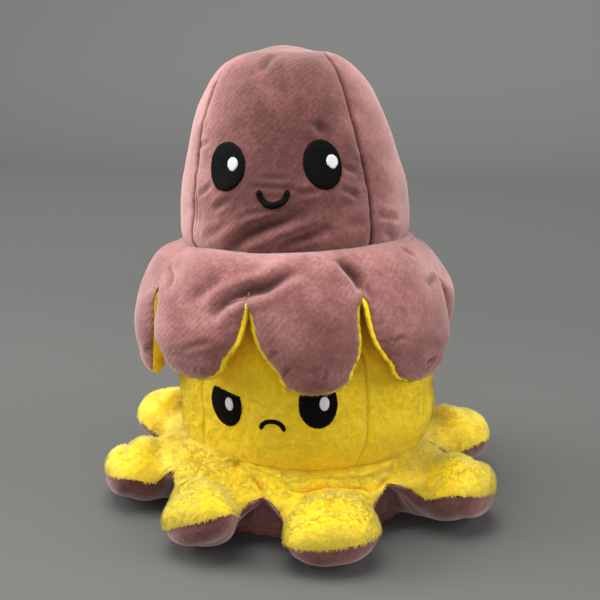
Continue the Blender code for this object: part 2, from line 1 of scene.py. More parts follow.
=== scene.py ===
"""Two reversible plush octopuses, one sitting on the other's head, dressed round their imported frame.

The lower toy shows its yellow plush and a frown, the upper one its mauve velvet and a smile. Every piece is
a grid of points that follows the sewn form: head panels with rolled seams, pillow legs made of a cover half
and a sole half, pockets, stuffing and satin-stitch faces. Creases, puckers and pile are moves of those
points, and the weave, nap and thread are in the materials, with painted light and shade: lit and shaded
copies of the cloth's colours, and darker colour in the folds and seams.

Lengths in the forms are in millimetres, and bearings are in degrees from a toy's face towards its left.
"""

import itertools
import json
import math

import bpy
import numpy as np
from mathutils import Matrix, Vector


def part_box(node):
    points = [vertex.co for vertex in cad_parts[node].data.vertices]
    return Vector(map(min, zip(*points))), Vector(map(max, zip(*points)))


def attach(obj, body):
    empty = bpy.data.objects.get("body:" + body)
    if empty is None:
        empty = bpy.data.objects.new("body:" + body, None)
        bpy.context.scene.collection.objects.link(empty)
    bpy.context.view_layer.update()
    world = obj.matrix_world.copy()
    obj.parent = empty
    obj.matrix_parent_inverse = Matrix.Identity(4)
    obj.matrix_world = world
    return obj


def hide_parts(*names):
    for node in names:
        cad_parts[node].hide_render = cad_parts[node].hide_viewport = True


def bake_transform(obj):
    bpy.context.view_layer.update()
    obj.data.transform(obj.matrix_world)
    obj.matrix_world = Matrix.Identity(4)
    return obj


bl_info = {
    "name": "Stacked plush octopuses",
    "version": (1, 0, 0),
    "blender": (4, 5, 0),
    "location": "3D View > Sidebar > Plush",
    "description": "Builds the sewn pieces of two stacked reversible plush toys",
    "category": "Add Mesh",
}

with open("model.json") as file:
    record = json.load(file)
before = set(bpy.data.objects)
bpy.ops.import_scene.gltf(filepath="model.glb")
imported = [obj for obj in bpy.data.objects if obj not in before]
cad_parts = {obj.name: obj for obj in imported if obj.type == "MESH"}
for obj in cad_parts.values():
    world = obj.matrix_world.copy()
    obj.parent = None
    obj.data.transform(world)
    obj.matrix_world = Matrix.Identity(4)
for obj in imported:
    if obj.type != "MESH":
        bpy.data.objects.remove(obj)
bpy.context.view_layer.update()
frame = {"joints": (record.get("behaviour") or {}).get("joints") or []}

MM = 0.001
LEGS = range(1, 9)
INNER_STEP = 4

# Head outlines from the crown down, as (radius, height)
LOWER_HEAD = (
    (0.4, 133.6), (8, 133.1), (17, 131.2), (26, 127.7), (34, 123.2), (41, 117.6), (47.2, 111.6),
    (53.6, 104.4), (59.5, 94.9), (63.2, 84.5), (64.6, 74), (64.2, 62), (62.2, 48), (59.5, 39.5), (57.5, 36),
    (55.5, 34),
)
UPPER_HEAD = (
    (0.4, 94.2), (6, 93.8), (14, 92.1), (22.5, 90), (30.2, 85.6), (37.8, 77.7), (43, 69), (47, 59),
    (50.2, 48), (52.6, 37), (54.8, 27), (56.4, 15), (57, 8), (57, 4), (56.5, 1), (55, -1.2), (52.4, -3),
    (50, -4),
)

# Stations of a leg from its root: out and up at its seam and at its crest, half its width, and how far it
# bends round the axis
LOWER_COVER = (
    (58.5, 34.2, 58.5, 34.9, 40, 1), (61, 32.6, 62, 33.8, 40, 1), (65, 31, 67, 32.6, 40, 0.95),
    (69, 28.6, 71, 31.6, 31, 0.8), (72, 24, 74.5, 31.2, 24, 0.45), (74, 19, 78, 32.2, 20.8, 0.15),
    (77, 16, 82, 32.4, 21, 0), (82, 15.2, 86, 31, 22, 0), (87, 15.4, 89.5, 28.8, 21.8, 0),
)
LOWER_SOLE = (
    (54, 1.5, 54, 0, 40, 1), (60, 19, 60, 0, 40, 1), (65, 29, 64.5, 0, 40, 0.95), (69, 27, 69, 0, 31, 0.8),
    (72, 23, 73, 0, 24, 0.45), (74, 19, 77, 0, 20.8, 0.15), (77, 16, 81, 0.2, 21, 0),
    (82, 15.2, 86, 1.2, 22, 0), (87, 15.4, 90.5, 3.2, 21.8, 0),
)
LOWER_TIP = (101.2, 16.5)
UPPER_COVER = (
    (54, -1.2, 54, -1, 40, 1), (58.5, -1, 58.8, -0.5, 40, 1), (64, -2.6, 65.5, -1.6, 40, 1),
    (68.4, -5.8, 70.4, -4.6, 40, 1), (71, -9.8, 74.2, -9.6, 38, 0.95), (72.3, -14, 77.2, -15, 33.5, 0.8),
    (72.9, -18.8, 79.6, -20.5, 28.5, 0.4), (73, -24, 81.2, -26, 26.4, 0.1), (73, -31, 82.2, -32.5, 25.8, 0),
    (73, -41, 82.6, -41, 24.8, 0), (73.2, -48.5, 81.8, -47.5, 21.8, 0), (73.4, -54.5, 80.2, -53, 17.4, 0),
)
UPPER_SOLE = (
    (56, -9, 55, -11.5, 31, 1), (60, -9.6, 57, -14, 31, 1), (65, -11.2, 59, -18, 30.5, 0.85),
    (69.6, -14.2, 60.6, -21.5, 29.8, 0.65), (71.9, -17.8, 61.6, -24.4, 29, 0.5),
    (72.7, -20.6, 62.4, -26.6, 27.9, 0.35), (73, -24, 62.8, -29, 26.4, 0.1), (73, -31, 63.5, -34, 25.8, 0),
    (73, -41, 64.6, -42, 24.8, 0), (73.2, -48.5, 65.6, -49.5, 21.8, 0), (73.4, -54.5, 67.4, -56, 17.4, 0),
)
UPPER_TIP = (73.4, -64.5)
LEG_FORMS = {
    ("lower", "cover"): (LOWER_COVER, LOWER_TIP),
    ("lower", "sole"): (LOWER_SOLE, LOWER_TIP),
    ("upper", "cover"): (UPPER_COVER, UPPER_TIP),
    ("upper", "sole"): (UPPER_SOLE, UPPER_TIP),
}

# Rings of skirt cloth and the pockets: the side that shows, then the side behind it, as (radius, height)
SKIRTS = {
    "lower_top": (
        ((56.5, 37.5), (57.5, 36), (59.3, 34.6), (61.5, 32.6), (62, 30)),
        ((56, 34), (57, 33), (58, 32), (59.5, 30.5), (60, 29)),
    ),
    "lower_sole": (
        ((60, 1.2), (57, 0.1), (50, 0.05), (43, 0.1), (38.6, 0.4), (36.6, 2)),
        ((58, 3.2), (56, 3), (50, 2.6), (44, 2.6), (41, 2.8), (38.8, 3.6)),
    ),
    "upper_top": (
        ((53.2, -3.8), (54.2, -2.5), (55.6, -1.7), (57.5, -1.6), (59.5, -2)),
        ((52, -6), (53, -5), (55, -4.4), (57, -4), (58, -4)),
    ),
    "upper_sole": (
        ((58, -10.4), (53, -13), (47, -16.2), (41.5, -18.4), (37, -16.4), (33.2, -13.8)),
        ((57, -8.2), (53, -9.8), (47, -13), (42, -15), (38, -13), (35, -11)),
    ),
}
POCKETS = {
    "lower": (
        (0.3, 61.6), (12.6, 60.2), (20, 56.6), (24.6, 51.8), (28.2, 44), (30.3, 34.6), (31.8, 22), (33.2, 10),
        (35.4, 2), (36.2, 0.3),
    ),
    "upper": (
        (0.3, 33.4), (10.8, 32.0), (17, 29.2), (21, 25.6), (24.3, 18.5), (26.0, 12), (27.5, 0), (28.6, -6.5),
        (30.4, -12), (31.2, -13.6),
    ),
}

# Folds of the cloth: the line that each one follows at rest, its depth and width, and its lips' share of it
UPPER_HEAD_CREASES = (
    (
        ((-25, -45, 141), (-20, -49, 145), (-15, -51, 149), (-6, -51, 154), (3, -50, 157), (12, -48, 161)),
        2.8, 3.2, 0.5,
    ),
    (((-1, -50, 144), (5, -51, 148), (16, -48, 151), (24, -44, 154)), 2.2, 2.6, 0.4),
    (((-19, -49, 156), (-14, -49, 159), (-3, -50, 162), (5, -49, 163)), 1.2, 1.5, 0.4),
    (((-44, -32, 164), (-39, -36, 167), (-34, -38, 171)), 1.3, 1.5, 0.4),
    (((-33, -42, 159), (-28, -44, 163), (-23, -46, 165)), 1.5, 1.8, 0.4),
    (((-15, -46, 172), (-8, -47, 172), (0, -47, 172), (11, -45, 171)), 0.9, 1.3, 0.4),
    (((8, -47, 169), (13, -45, 170), (19, -43, 171)), 1.3, 1.6, 0.4),
    (((27, -37, 171), (31, -35, 169), (35, -31, 166)), 1.2, 1.6, 0.4),
    (((27, -33, 181), (30, -31, 179), (34, -28, 177)), 1, 1.5, 0.4),
    (((16, -31, 201), (17, -31, 198), (19, -32, 195)), 1.6, 2.6, 0.3),
    (((43, -25, 157), (47, -20, 155), (51, -10, 152)), 1.4, 1.8, 0.4),
    (((45, -22, 150), (48, -18, 147), (49, -10, 142)), 1.6, 3, 0.3),
    (((-9, -11, 229), (-10, -16, 226), (-11, -22, 222)), 1.5, 2.5, 0.3),
    (((-45, -30, 165), (-43, -34, 155), (-43, -33, 141)), 0.9, 0.9, 0.6),
    (((-39, -39, 145), (-31, -45, 149), (-24, -48, 154)), 0.9, 2, 0.4),
    (((-10, -46, 176), (-4, -46, 176), (4, -45, 176)), 0.6, 1.5, 0.4),
    (((-45, -21, 186), (-39, -27, 188), (-36, -29, 190)), 1, 1.4, 0.4),
    (((30, -40, 154), (35, -35, 155), (39, -30, 153)), 0.9, 2.2, 0.4),
)
UPPER_LEG_CREASES = (
    (
        ((-26, -76, 116), (-20, -73, 123), (-14, -71, 126), (-8, -70, 128), (-1, -70, 130), (8, -67, 136),
         (11, -65, 139)),
        3.4, 3.2, 0.5,
    ),
    (((28, -52, 141), (33, -54, 138), (38, -55, 133), (41, -57, 128)), 3.4, 2.6, 0.3),
    (((42, -55, 130), (44, -56, 126), (47, -57, 122)), 1.4, 2.4, 0.3),
    (((56, -58, 104), (59, -57, 106), (62, -54, 106)), 1.2, 1.4, 0.4),
    (((8, -75, 90), (11, -77, 94), (12, -78, 96)), 1, 1.2, 0.4),
    (((26, -74, 88), (27, -74, 91), (28, -74, 94)), 0.8, 1.1, 0.4),
    (((1, -76, 97), (4, -78, 101), (7, -79, 103)), 0.8, 1.1, 0.4),
    (((70, -44, 89), (72, -42, 91), (74, -38, 92)), 1.6, 1.6, 0.4),
    (((-33, -73, 88), (-32, -75, 91), (-33, -76, 94)), 0.9, 1.2, 0.4),
    (((-41, -74, 99), (-33, -78, 103), (-24, -80, 106)), 0.6, 1.5, 0.4),
    (((-40, -67, 120), (-30, -68, 127), (-22, -66, 132)), 0.9, 3, 0.4),
    (((-70, -40, 85), (-67, -43, 88), (-63, -45, 90)), 1, 1.5, 0.3),
    (((68, -31, 125), (70, -24, 126), (71, -13, 127)), 1.6, 2, 0.4),
    (((55, -26, 141), (58, -24, 140), (62, -24, 138)), 1.4, 2.4, 0.3),
    (((-56, -42, 130), (-52, -50, 127), (-51, -55, 123)), 1.2, 2, 0.3),
    (((12, -56, 143), (18, -60, 141), (23, -60, 139)), 0.7, 2.4, 0.3),
)
LOWER_LEG_CREASES = (
    (
        ((9, -68, 30), (15, -68, 31), (23, -64, 32), (34, -60, 31), (42, -56, 30), (47, -56, 28)),
        2.3, 1.7, 0.3,
    ),
    (((-21, -61, 33), (-16, -58, 34), (-11, -57, 36)), 2, 1.9, 0.3),
    (((-11, -64, 32), (-6, -67, 31), (-2, -71, 29)), 1.8, 1.6, 0.3),
    (((-41, -77, 30), (-39, -72, 32), (-35, -63, 31), (-24, -61, 33)), 1.2, 1.5, 0.3),
    (((-49, -38, 32), (-42, -50, 33), (-37, -60, 31)), 1.2, 2, 0.3),
    (((-6, -60, 40), (8, -59, 39), (19, -56, 35), (31, -54, 33)), 0.9, 2.6, 0.4),
    (((54, -39, 30), (50, -48, 30), (48, -55, 28)), 1.6, 1.6, 0.3),
    (((66, -17, 32), (70, -9, 31), (73, 13, 23)), 1.4, 1.6, 0.3),
)

# Faces. The eyes: the bearing of the middle between them, each one's own bearing and height, how much higher
# the left one sits, their sizes from the left, and the height and slope of the brow that cuts them. The glints:
# across and up from the eye's middle, width, height and how far they taper. The mouth: bearing, height, width,
# depth and the thickness of its line.
FACES = {
    "lower": {
        "turn": -2.9, "eye": (20.6, 70.9), "tilt": 2.1, "sizes": ((18.3, 24.2), (18.3, 24.2)),
        "brow": (6.5, 0.16), "glint": (2.8, 0.5, 4.4, 6.6), "tail": 0.0,
        "mouth": (-1.5, 61.5, 13.4, 6.6), "stroke": 2.2,
    },
    "upper": {
        "turn": 1.0, "eye": (25.6, 38.5), "tilt": 0.0, "sizes": ((18.3, 23.6), (20.7, 23.4)),
        "brow": None, "glint": (4.3, 1.1, 5.5, 6.3), "tail": 0.7,
        "mouth": (1.0, 23.8, 15.2, 8.6), "stroke": 3.0,
    },
}


# ---------------------------------------------------------------- noise, curves and creases


def lattice(cells, seed):
    """A steady value from 0 to 1 for each whole-number cell."""
    mixed = cells[..., 0] * 73856093 ^ cells[..., 1] * 19349663 ^ cells[..., 2] * 83492791 ^ seed * 2654435761
    mixed = (mixed & 0xFFFFFFFF) * 1274126177 & 0xFFFFFFFF
    mixed = (mixed ^ mixed >> 15) * 2246822519 & 0xFFFFFFFF
    return (mixed >> 12 & 0xFFFF) / 65535


def soft_noise(points, size, seed):
    """Smooth noise from -1 to 1, with features about this size."""
    place = points / size
    cell = np.floor(place).astype(np.int64)
    part = place - cell
    part = part * part * (3 - 2 * part)
    total = np.zeros(points.shape[:-1])
    for corner in itertools.product((0, 1), repeat=3):
        weight = np.prod(np.where(corner, part, 1 - part), axis=-1)
        total += weight * lattice(cell + np.array(corner), seed)
    return total * 2 - 1


def unit(vectors):
    """The same directions with length one."""
    return vectors / np.maximum(np.linalg.norm(vectors, axis=-1, keepdims=True), 1e-9)


def bell(value):
    """1 at zero, falling smoothly towards 0 on both sides."""
    return np.exp(-(value**2))


def turned(degrees):
    """An angle brought between -180 and 180 degrees."""
    return (degrees + 180) % 360 - 180


def way_along(line):
    """The distance of each point of a line from its first point, along the line."""
    return np.concatenate(([0], np.cumsum(np.linalg.norm(np.diff(line, axis=0), axis=1))))


def eased(low, high, value):
    """0 below low, 1 above high, and a smooth rise between them."""
    share = np.clip((value - low) / (high - low), 0, 1)
    return share * share * (3 - 2 * share)


def curve_through(stations, spacing):
    """Rows about this far apart on a smooth curve through the stations."""
    stations = np.array(stations, float)
    at = way_along(stations[:, :4])
    slopes = np.gradient(stations, at, axis=0)
    steps = np.linspace(0, at[-1], max(2, int(at[-1] / spacing)) + 1)
    part = np.clip(np.searchsorted(at, steps, side="right") - 1, 0, len(at) - 2)
    width = (at[part + 1] - at[part])[:, None]
    t = (steps - at[part])[:, None] / width
    start, end = stations[part], stations[part + 1]
    return (
        start * (1 + 2 * t) * (1 - t) ** 2
        + slopes[part] * width * t * (1 - t) ** 2
        + end * t * t * (3 - 2 * t)
        + slopes[part + 1] * width * t * t * (t - 1)
    )


def outline_through(points, spacing):
    """A smooth outline through points given as (radius, height)."""
    return curve_through([(*p, *p) for p in points], spacing)[:, :2]


def grid_normals(grid):
    """A normal at each point of a grid whose columns run to the left of its rows."""
    down, along = np.gradient(grid, axis=0), np.gradient(grid, axis=1)
    return unit(np.cross(down, along))


# How quickly a crease fades in from its ends, and where its lips stand, in its own widths
CREASE_TAPER = 0.6
LIP_PLACE = 1.9


def creased(points, creases):
    """How far each point sinks into the creases that pass near it."""
    sink = np.zeros(points.shape[:-1])
    for line, depth, width, lip in creases:
        line = np.array(line, float)
        lengths = np.linalg.norm(np.diff(line, axis=0), axis=1)
        way = way_along(line)
        nearest = np.full(sink.shape, np.inf)
        along = np.zeros(sink.shape)
        for start, end, length, passed in zip(line, line[1:], lengths, way):
            step = end - start
            share = np.clip((points - start) @ step / length**2, 0, 1)
            gap = np.linalg.norm(points - start - share[..., None] * step, axis=-1)
            closer = gap < nearest
            nearest = np.where(closer, gap, nearest)
            along = np.where(closer, (passed + share * length) / way[-1], along)
        taper = np.clip(4 * along * (1 - along), 0, 1) ** CREASE_TAPER
        far = nearest / width
        sink += depth * taper * (bell(far) - lip * bell(far - LIP_PLACE))
    return sink


# ---------------------------------------------------------------- toys


class Toy:
    """A toy's axis, front and leg bearings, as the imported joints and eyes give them."""

    def __init__(self, prefix, hinge_height):
        joints = [j for j in frame["joints"] if j["name"].startswith(f"{prefix}_leg")]
        hinges = np.array([j["pos_m"] for j in joints]) / MM
        spread = hinges - hinges.mean(0)
        plane = np.linalg.svd(spread)[2]
        self.up = plane[2] * np.sign(plane[2, 2])
        flat = spread @ plane[:2].T
        circle = np.column_stack((2 * flat, np.ones(len(flat))))
        found = np.linalg.lstsq(circle, (flat**2).sum(1), rcond=None)[0]
        centre = hinges.mean(0) + found[:2] @ plane[:2]
        boxes = [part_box(f"{prefix}_{side}_eye") for side in ("left", "right")]
        face = np.mean([np.array(corner) for box in boxes for corner in box], axis=0) / MM - centre
        self.front = unit(face - self.up * (face @ self.up))
        self.side = np.cross(self.up, self.front)
        self.origin = centre - self.up * hinge_height
        out = hinges - centre
        self.bearings = np.degrees(np.arctan2(out @ self.side, out @ self.front)) % 360

    def place(self, out, across, up):
        """Points given along a toy's front, side and axis."""
        return self.origin + np.stack((out, across, up), -1) @ np.stack((self.front, self.side, self.up))

    def outward(self, bearing):
        """The direction away from the axis at a bearing."""
        turn = np.radians(bearing)[..., None]
        return self.front * np.cos(turn) + self.side * np.sin(turn)

    def on_ring(self, radius, bearing, height):
        """Points at a radius and bearing round the axis."""
        turn = np.radians(bearing)
        return self.place(radius * np.cos(turn), radius * np.sin(turn), height)

    def measured(self, points):
        """The bearing, radius and height of points about the axis."""
        away = points - self.origin
        out, across = away @ self.front, away @ self.side
        return np.degrees(np.arctan2(across, out)), np.hypot(across, out), away @ self.up


# The seams meet behind the top of a head: the radius at which they start to bend back
CROWN_REACH = 50.0
# The radii between which a lean grows from nothing to all of it
LEAN_FADE = (56.0, 44.0)
# Where a head sags over its skirt, and how widely
OVERHANG_BEARING, OVERHANG_WIDTH = 78.0, 42.0
# How far round a point its normal is measured
PROBE = 0.6


class Head:
    """A head's sewn skin, as a function of the bearing and the way down its outline."""

    def __init__(self, toy, outline, look):
        self.toy = toy
        self.look = look
        line = outline_through(outline, 0.25)
        self.radius, self.height = line.T
        self.way = way_along(line)
        self.slope = unit(np.gradient(line, self.way, axis=0))
        self.crown_rows = int(np.argmax(self.radius > CROWN_REACH))
        self.crown_way = self.way[self.crown_rows]
        half, other = look["front"] / 2, (360 - look["front"]) / 3
        self.seams = [half + k * other for k in range(4)]
        self.panels = {
            "front_panel": (-half, half),
            "left_panel": (half, self.seams[1]),
            "back_panel": (self.seams[1], self.seams[2]),
            "right_panel": (self.seams[2], 360 - half),
        }

    def down_to(self, height):
        """The way down the outline at which the flank reaches a height."""
        flank = self.radius > 0.6 * self.radius.max()
        return np.interp(-height, -self.height[flank], self.way[flank])

    def skin(self, bearing, way, fine=True):
        """Points on the cloth."""
        look = self.look
        radius = np.interp(way, self.way, self.radius)
        turn = np.radians(bearing)
        crown = way < self.crown_way
        # The crown leans back, so that the seams meet behind the top
        pull = eased(CROWN_REACH, 0, radius) * crown
        out = radius * np.cos(turn) - look["crown_back"] * pull
        across = radius * np.sin(turn)
        reach = np.hypot(out, across)
        on_crown = np.s_[: self.crown_rows]
        under = np.where(crown, np.interp(reach, self.radius[on_crown], self.way[on_crown]), way)
        height, run, fall = (np.interp(under, self.way, part) for part in (self.height, *self.slope.T))
        base = self.toy.place(out, across, height)
        outward = self.toy.outward(np.degrees(np.arctan2(across, out)))
        normal = outward * -fall[..., None] + self.toy.up * run[..., None]
        # The panels bulge between their seams, which pucker
        gap = np.radians(np.min([np.abs(turned(bearing - seam)) for seam in self.seams], axis=0)) * radius
        body = eased(0, 22, radius) * eased(0, 12, self.way[-1] - way)
        rise = look["bulge"] * body * (1 - np.exp(-gap / 14))
        rise -= look["seam_depth"] * bell(gap / look["seam_width"]) * eased(0, 6, radius)
        rise += soft_noise(base, 4.2, 11) * np.exp(-gap / 5.5) * look["pucker"] * body
        rise += look["undulation"] * body * soft_noise(base, 27, 5) + 0.35 * body * soft_noise(base, 11, 6)
        # The head sags over its skirt, and leans
        over = bell(turned(bearing - OVERHANG_BEARING) / OVERHANG_WIDTH)
        rise += look["overhang"] * (over * eased(33.5, 40, height) * eased(66, 46, height))
        if fine:
            rise -= creased(base, look["creases"])
        lean = look["lean"] * eased(*LEAN_FADE, radius)
        lean = lean + look["bulge_aside"] * eased(38, 58, height) * eased(108, 86, height)
        return base + normal * rise[..., None] + self.toy.side * lean[..., None]

    def normal(self, bearing, way):
        """The direction out of the cloth."""
        turn = np.degrees(PROBE / np.maximum(np.interp(way, self.way, self.radius), 1.5))
        around = self.skin(bearing + turn, way) - self.skin(bearing - turn, way)
        down = self.skin(bearing, way + PROBE) - self.skin(bearing, way - PROBE)
        return unit(np.cross(down, around))


# ---------------------------------------------------------------- meshes


def rim_faces(fine, coarse, flip):
    """Faces between a fine line of vertices and a coarse one that runs beside it."""
    step = (len(fine) - 1) // (len(coarse) - 1)
    faces = []
    for k in range(len(coarse) - 1):
        face = list(fine[k * step : (k + 1) * step + 1]) + [coarse[k + 1], coarse[k]]
        faces.append(face[::-1] if flip else face)
    return faces


def corners(values, flip=False):
    """What a grid holds at the four corners of each of its quads, going round it."""
    parts = [values[:-1, :-1], values[1:, :-1], values[1:, 1:], values[:-1, 1:]]
    return np.stack(parts[::-1] if flip else parts, 2)


def spots_over(grid, start, extent):
    """Places in the bake map for a grid: right across it, and from a start up it."""
    rows, columns = grid.shape[:2]
    down, along = np.mgrid[0:rows, 0:columns]
    return np.stack((0.01 + 0.98 * along / (columns - 1), start + extent * down / (rows - 1)), -1)


def rim_spots(rims):
    """Places in the bake map for the corners of the rim's faces: a small loop for each, in one row."""
    spots = []
    for k, face in enumerate(rims):
        turn = np.linspace(0, 5, len(face))
        across = 0.01 + 0.98 * (k + 0.4 * np.cos(turn)) / len(rims)
        spots.append(np.column_stack((across, 0.97 + 0.01 * np.sin(turn))))
    return np.concatenate(spots)


def cloth_places(grid):
    """Distances across and down the cloth, in millimetres, from the middle of its first row."""
    middle = grid.shape[1] // 2
    across = np.linalg.norm(np.diff(grid, axis=1), axis=-1)
    across = np.concatenate((np.zeros((len(grid), 1)), np.cumsum(across, axis=1)), axis=1)
    across -= across[:, [middle]]
    return np.stack((across, way_along(grid[:, middle])[:, None] + 0 * across), -1)


# A tuft is a thin spike of four faces: half its width, its share of its own shading, how far its points count
# as tips, its faces, and where those lie in the bake map round its root's spot
TUFT_WIDTH = 0.26
TUFT_OWN_SHADE = 0.2
TUFT_TIPS = (0.2, 0.2, 0.2, 1)
TUFT_FACES = np.array(((1, 0, 3), (2, 1, 3), (0, 2, 3), (0, 1, 2)))
TUFT_SPOTS = np.array(((-1, -1), (1, -1), (0, 1.2)))
# Where the bake map holds a body's outer and inner skin: its start and extent up the map
OUTER_SPOTS, INNER_SPOTS = (0.01, 0.78), (0.81, 0.13)


def closed_body(
    name, outer, inner, finish, hollow=0.0, nap=0.5, wrap=False, capped=False, tufts=None, places=None
):
    """A closed solid with a fine outer skin, a coarse inner one and a rim, and pile if tufts are given.

    The first share is painted shade, deeper where an outer point lies in a fold, crease or seam, and nap is
    painted light and shade with some random tone: how far each point goes from the shaded towards the lit copy
    of the velvet, or how lit the pile's tips are.
    """
    cut = np.s_[:, :-1] if wrap else np.s_[:]
    points = np.concatenate((outer[cut].reshape(-1, 3), inner[cut].reshape(-1, 3)))
    shown = outer[cut].size // 3

    def numbered(grid, first):
        rows, columns = grid[cut].shape[:2]
        numbers = first + np.arange(rows * columns).reshape(rows, columns)
        return np.column_stack((numbers, numbers[:, 0])) if wrap else numbers

    def by_point(values, others):
        values = np.broadcast_to(values, outer.shape[:2])[cut].ravel()
        return np.concatenate((values, np.full(len(points) - shown, others)))

    numbers, inner_numbers = numbered(outer, 0), numbered(inner, shown)
    outer_faces = corners(numbers).reshape(-1, 4).tolist()
    inner_faces = corners(inner_numbers, flip=True).reshape(-1, 4).tolist()
    rims = rim_faces(numbers[-1], inner_numbers[-1], True)
    if capped:
        rims += [numbers[0, :-1].tolist(), inner_numbers[0, :-1][::-1].tolist()]
    else:
        rims += rim_faces(numbers[0], inner_numbers[0], False)
    if not wrap:
        rims += rim_faces(numbers[:, 0], inner_numbers[:, 0], True)
        rims += rim_faces(numbers[:, -1], inner_numbers[:, -1], False)
    faces = outer_faces + inner_faces + rims
    places = (cloth_places(outer) if places is None else places) * MM
    spots = spots_over(outer, *OUTER_SPOTS)
    plain = len(inner_faces) * 4 + sum(len(face) for face in rims)
    cloth = [corners(places).reshape(-1, 2), np.zeros((plain, 2))]
    bake = [corners(spots), corners(spots_over(inner, *INNER_SPOTS), flip=True)]
    bake = [part.reshape(-1, 2) for part in bake] + [rim_spots(rims)]
    # The first share, sunk, is painted shade in folds, creases and seams; the nap share is painted light and
    # shade
    sunk, brushed, tip = by_point(hollow, 0.0), by_point(nap, 0.5), np.zeros(len(points))
    if tufts is not None:
        roots, tuft_points, tuft_normals = tufts
        row, column = roots.T
        count = len(tuft_points)
        first = len(points) + 4 * np.arange(count)
        faces += (first[:, None, None] + TUFT_FACES).reshape(-1, 3).tolist()
        fan = TUFT_SPOTS * (0.3 / np.array(outer.shape[1::-1]))
        bake.append((spots[row, column][:, None, None] + fan).repeat(4, axis=1).reshape(-1, 2))
        cloth.append(places[row, column].repeat(12, axis=0))
        sunk = np.concatenate((sunk, np.repeat(sunk[numbers[row, column]], 4)))
        tip = np.concatenate((tip, np.tile(TUFT_TIPS, count)))
        brushed = np.concatenate((brushed, np.repeat(np.broadcast_to(nap, outer.shape[:2])[row, column], 4)))
        points = np.concatenate((points, tuft_points.reshape(-1, 3)))
    mesh = bpy.data.meshes.new(name)
    mesh.from_pydata((points * MM).tolist(), [], faces)
    for label, values in (("Cloth", cloth), ("OFBake", bake)):
        spread = np.concatenate(values).astype(np.float32).ravel()
        mesh.uv_layers.new(name=label).data.foreach_set("uv", spread)
    mesh.uv_layers["Cloth"].active_render = True
    for label, values in (("hollow", sunk), ("tip", tip), ("nap", brushed)):
        mesh.attributes.new(label, "FLOAT", "POINT").data.foreach_set("value", values.astype(np.float32))
    rounded = np.ones(len(mesh.polygons), bool)
    rounded[len(outer_faces) + len(inner_faces) :][: len(rims)] = False
    mesh.polygons.foreach_set("use_smooth", rounded)
    mesh.materials.append(finish)
    if tufts is not None:
        soft = np.empty(len(points) * 3, np.float32)
        mesh.vertex_normals.foreach_get("vector", soft)
        soft = soft.reshape(-1, 3)
        soft[-4 * count :] = unit(TUFT_OWN_SHADE * soft[-4 * count :] + np.repeat(tuft_normals, 4, axis=0))
        mesh.normals_split_custom_set_from_vertices(soft.tolist())
    made = bpy.data.objects.new(name, mesh)
    bpy.context.scene.collection.objects.link(made)
    return made


def pile(grid, normals, per_square_mm, length, flow, seed, keep=1.0):
    """Tufts of pile on a grid: their grid places, their four corners each and the cloth's normals."""
    rng = np.random.default_rng(seed)
    across = grid[:-1, 1:] - grid[:-1, :-1]
    down = grid[1:, :-1] - grid[:-1, :-1]
    areas = np.linalg.norm(np.cross(across, down), axis=-1)
    areas = areas * np.broadcast_to(keep, grid.shape[:2])[:-1, :-1]
    count = int(areas.sum() * per_square_mm)
    chosen = np.searchsorted(np.cumsum(areas.ravel()) / areas.sum(), rng.random(count))
    row, column = np.divmod(np.minimum(chosen, areas.size - 1), areas.shape[1])
    u, v = rng.random((2, count, 1))
    near = grid[row, column] * (1 - u) + grid[row, column + 1] * u
    far = grid[row + 1, column] * (1 - u) + grid[row + 1, column + 1] * u
    root = near * (1 - v) + far * v
    normal = normals[row, column]
    sway = np.stack([soft_noise(root, 5, seed + k) for k in (1, 2, 3)], -1)
    lean = np.asarray(flow) + 0.5 * sway + 0.8 * (rng.random((count, 3)) - 0.5)
    lean = lean - normal * (lean * normal).sum(-1, keepdims=True)
    side = unit(np.cross(normal, lean))
    ahead = unit(np.cross(side, normal))
    tall = length * (0.6 + 0.6 * rng.random((count, 1)))
    strength = np.clip(np.linalg.norm(lean, axis=-1, keepdims=True), 0.3, 1.1)
    wide = TUFT_WIDTH * (0.7 + 0.6 * rng.random((count, 1)))
    sunk = root - normal * 0.5
    point = root + unit(normal * 0.55 + ahead * strength) * tall
    points = np.stack((sunk - side * wide, sunk + side * wide, sunk + ahead * wide * 1.3, point), 1)
    return np.column_stack((row, column)), points, normal


# ---------------------------------------------------------------- finishes


class Socket:
    """A node's output in an expression: each operator adds the Math node that works it out."""

    def __init__(self, finish, link):
        self.finish = finish
        self.link = link

    def maths(self, operation, first, second):
        """The result of a Math node on two values."""
        return self.finish.node("ShaderNodeMath", {"operation": operation}, {0: first, 1: second})[0]

    def __add__(self, other):
        return self.maths("ADD", self, other)

    def __sub__(self, other):
        return self.maths("SUBTRACT", self, other)

    def __rsub__(self, other):
        return self.maths("SUBTRACT", other, self)

    def __mul__(self, other):
        return self.maths("MULTIPLY", self, other)


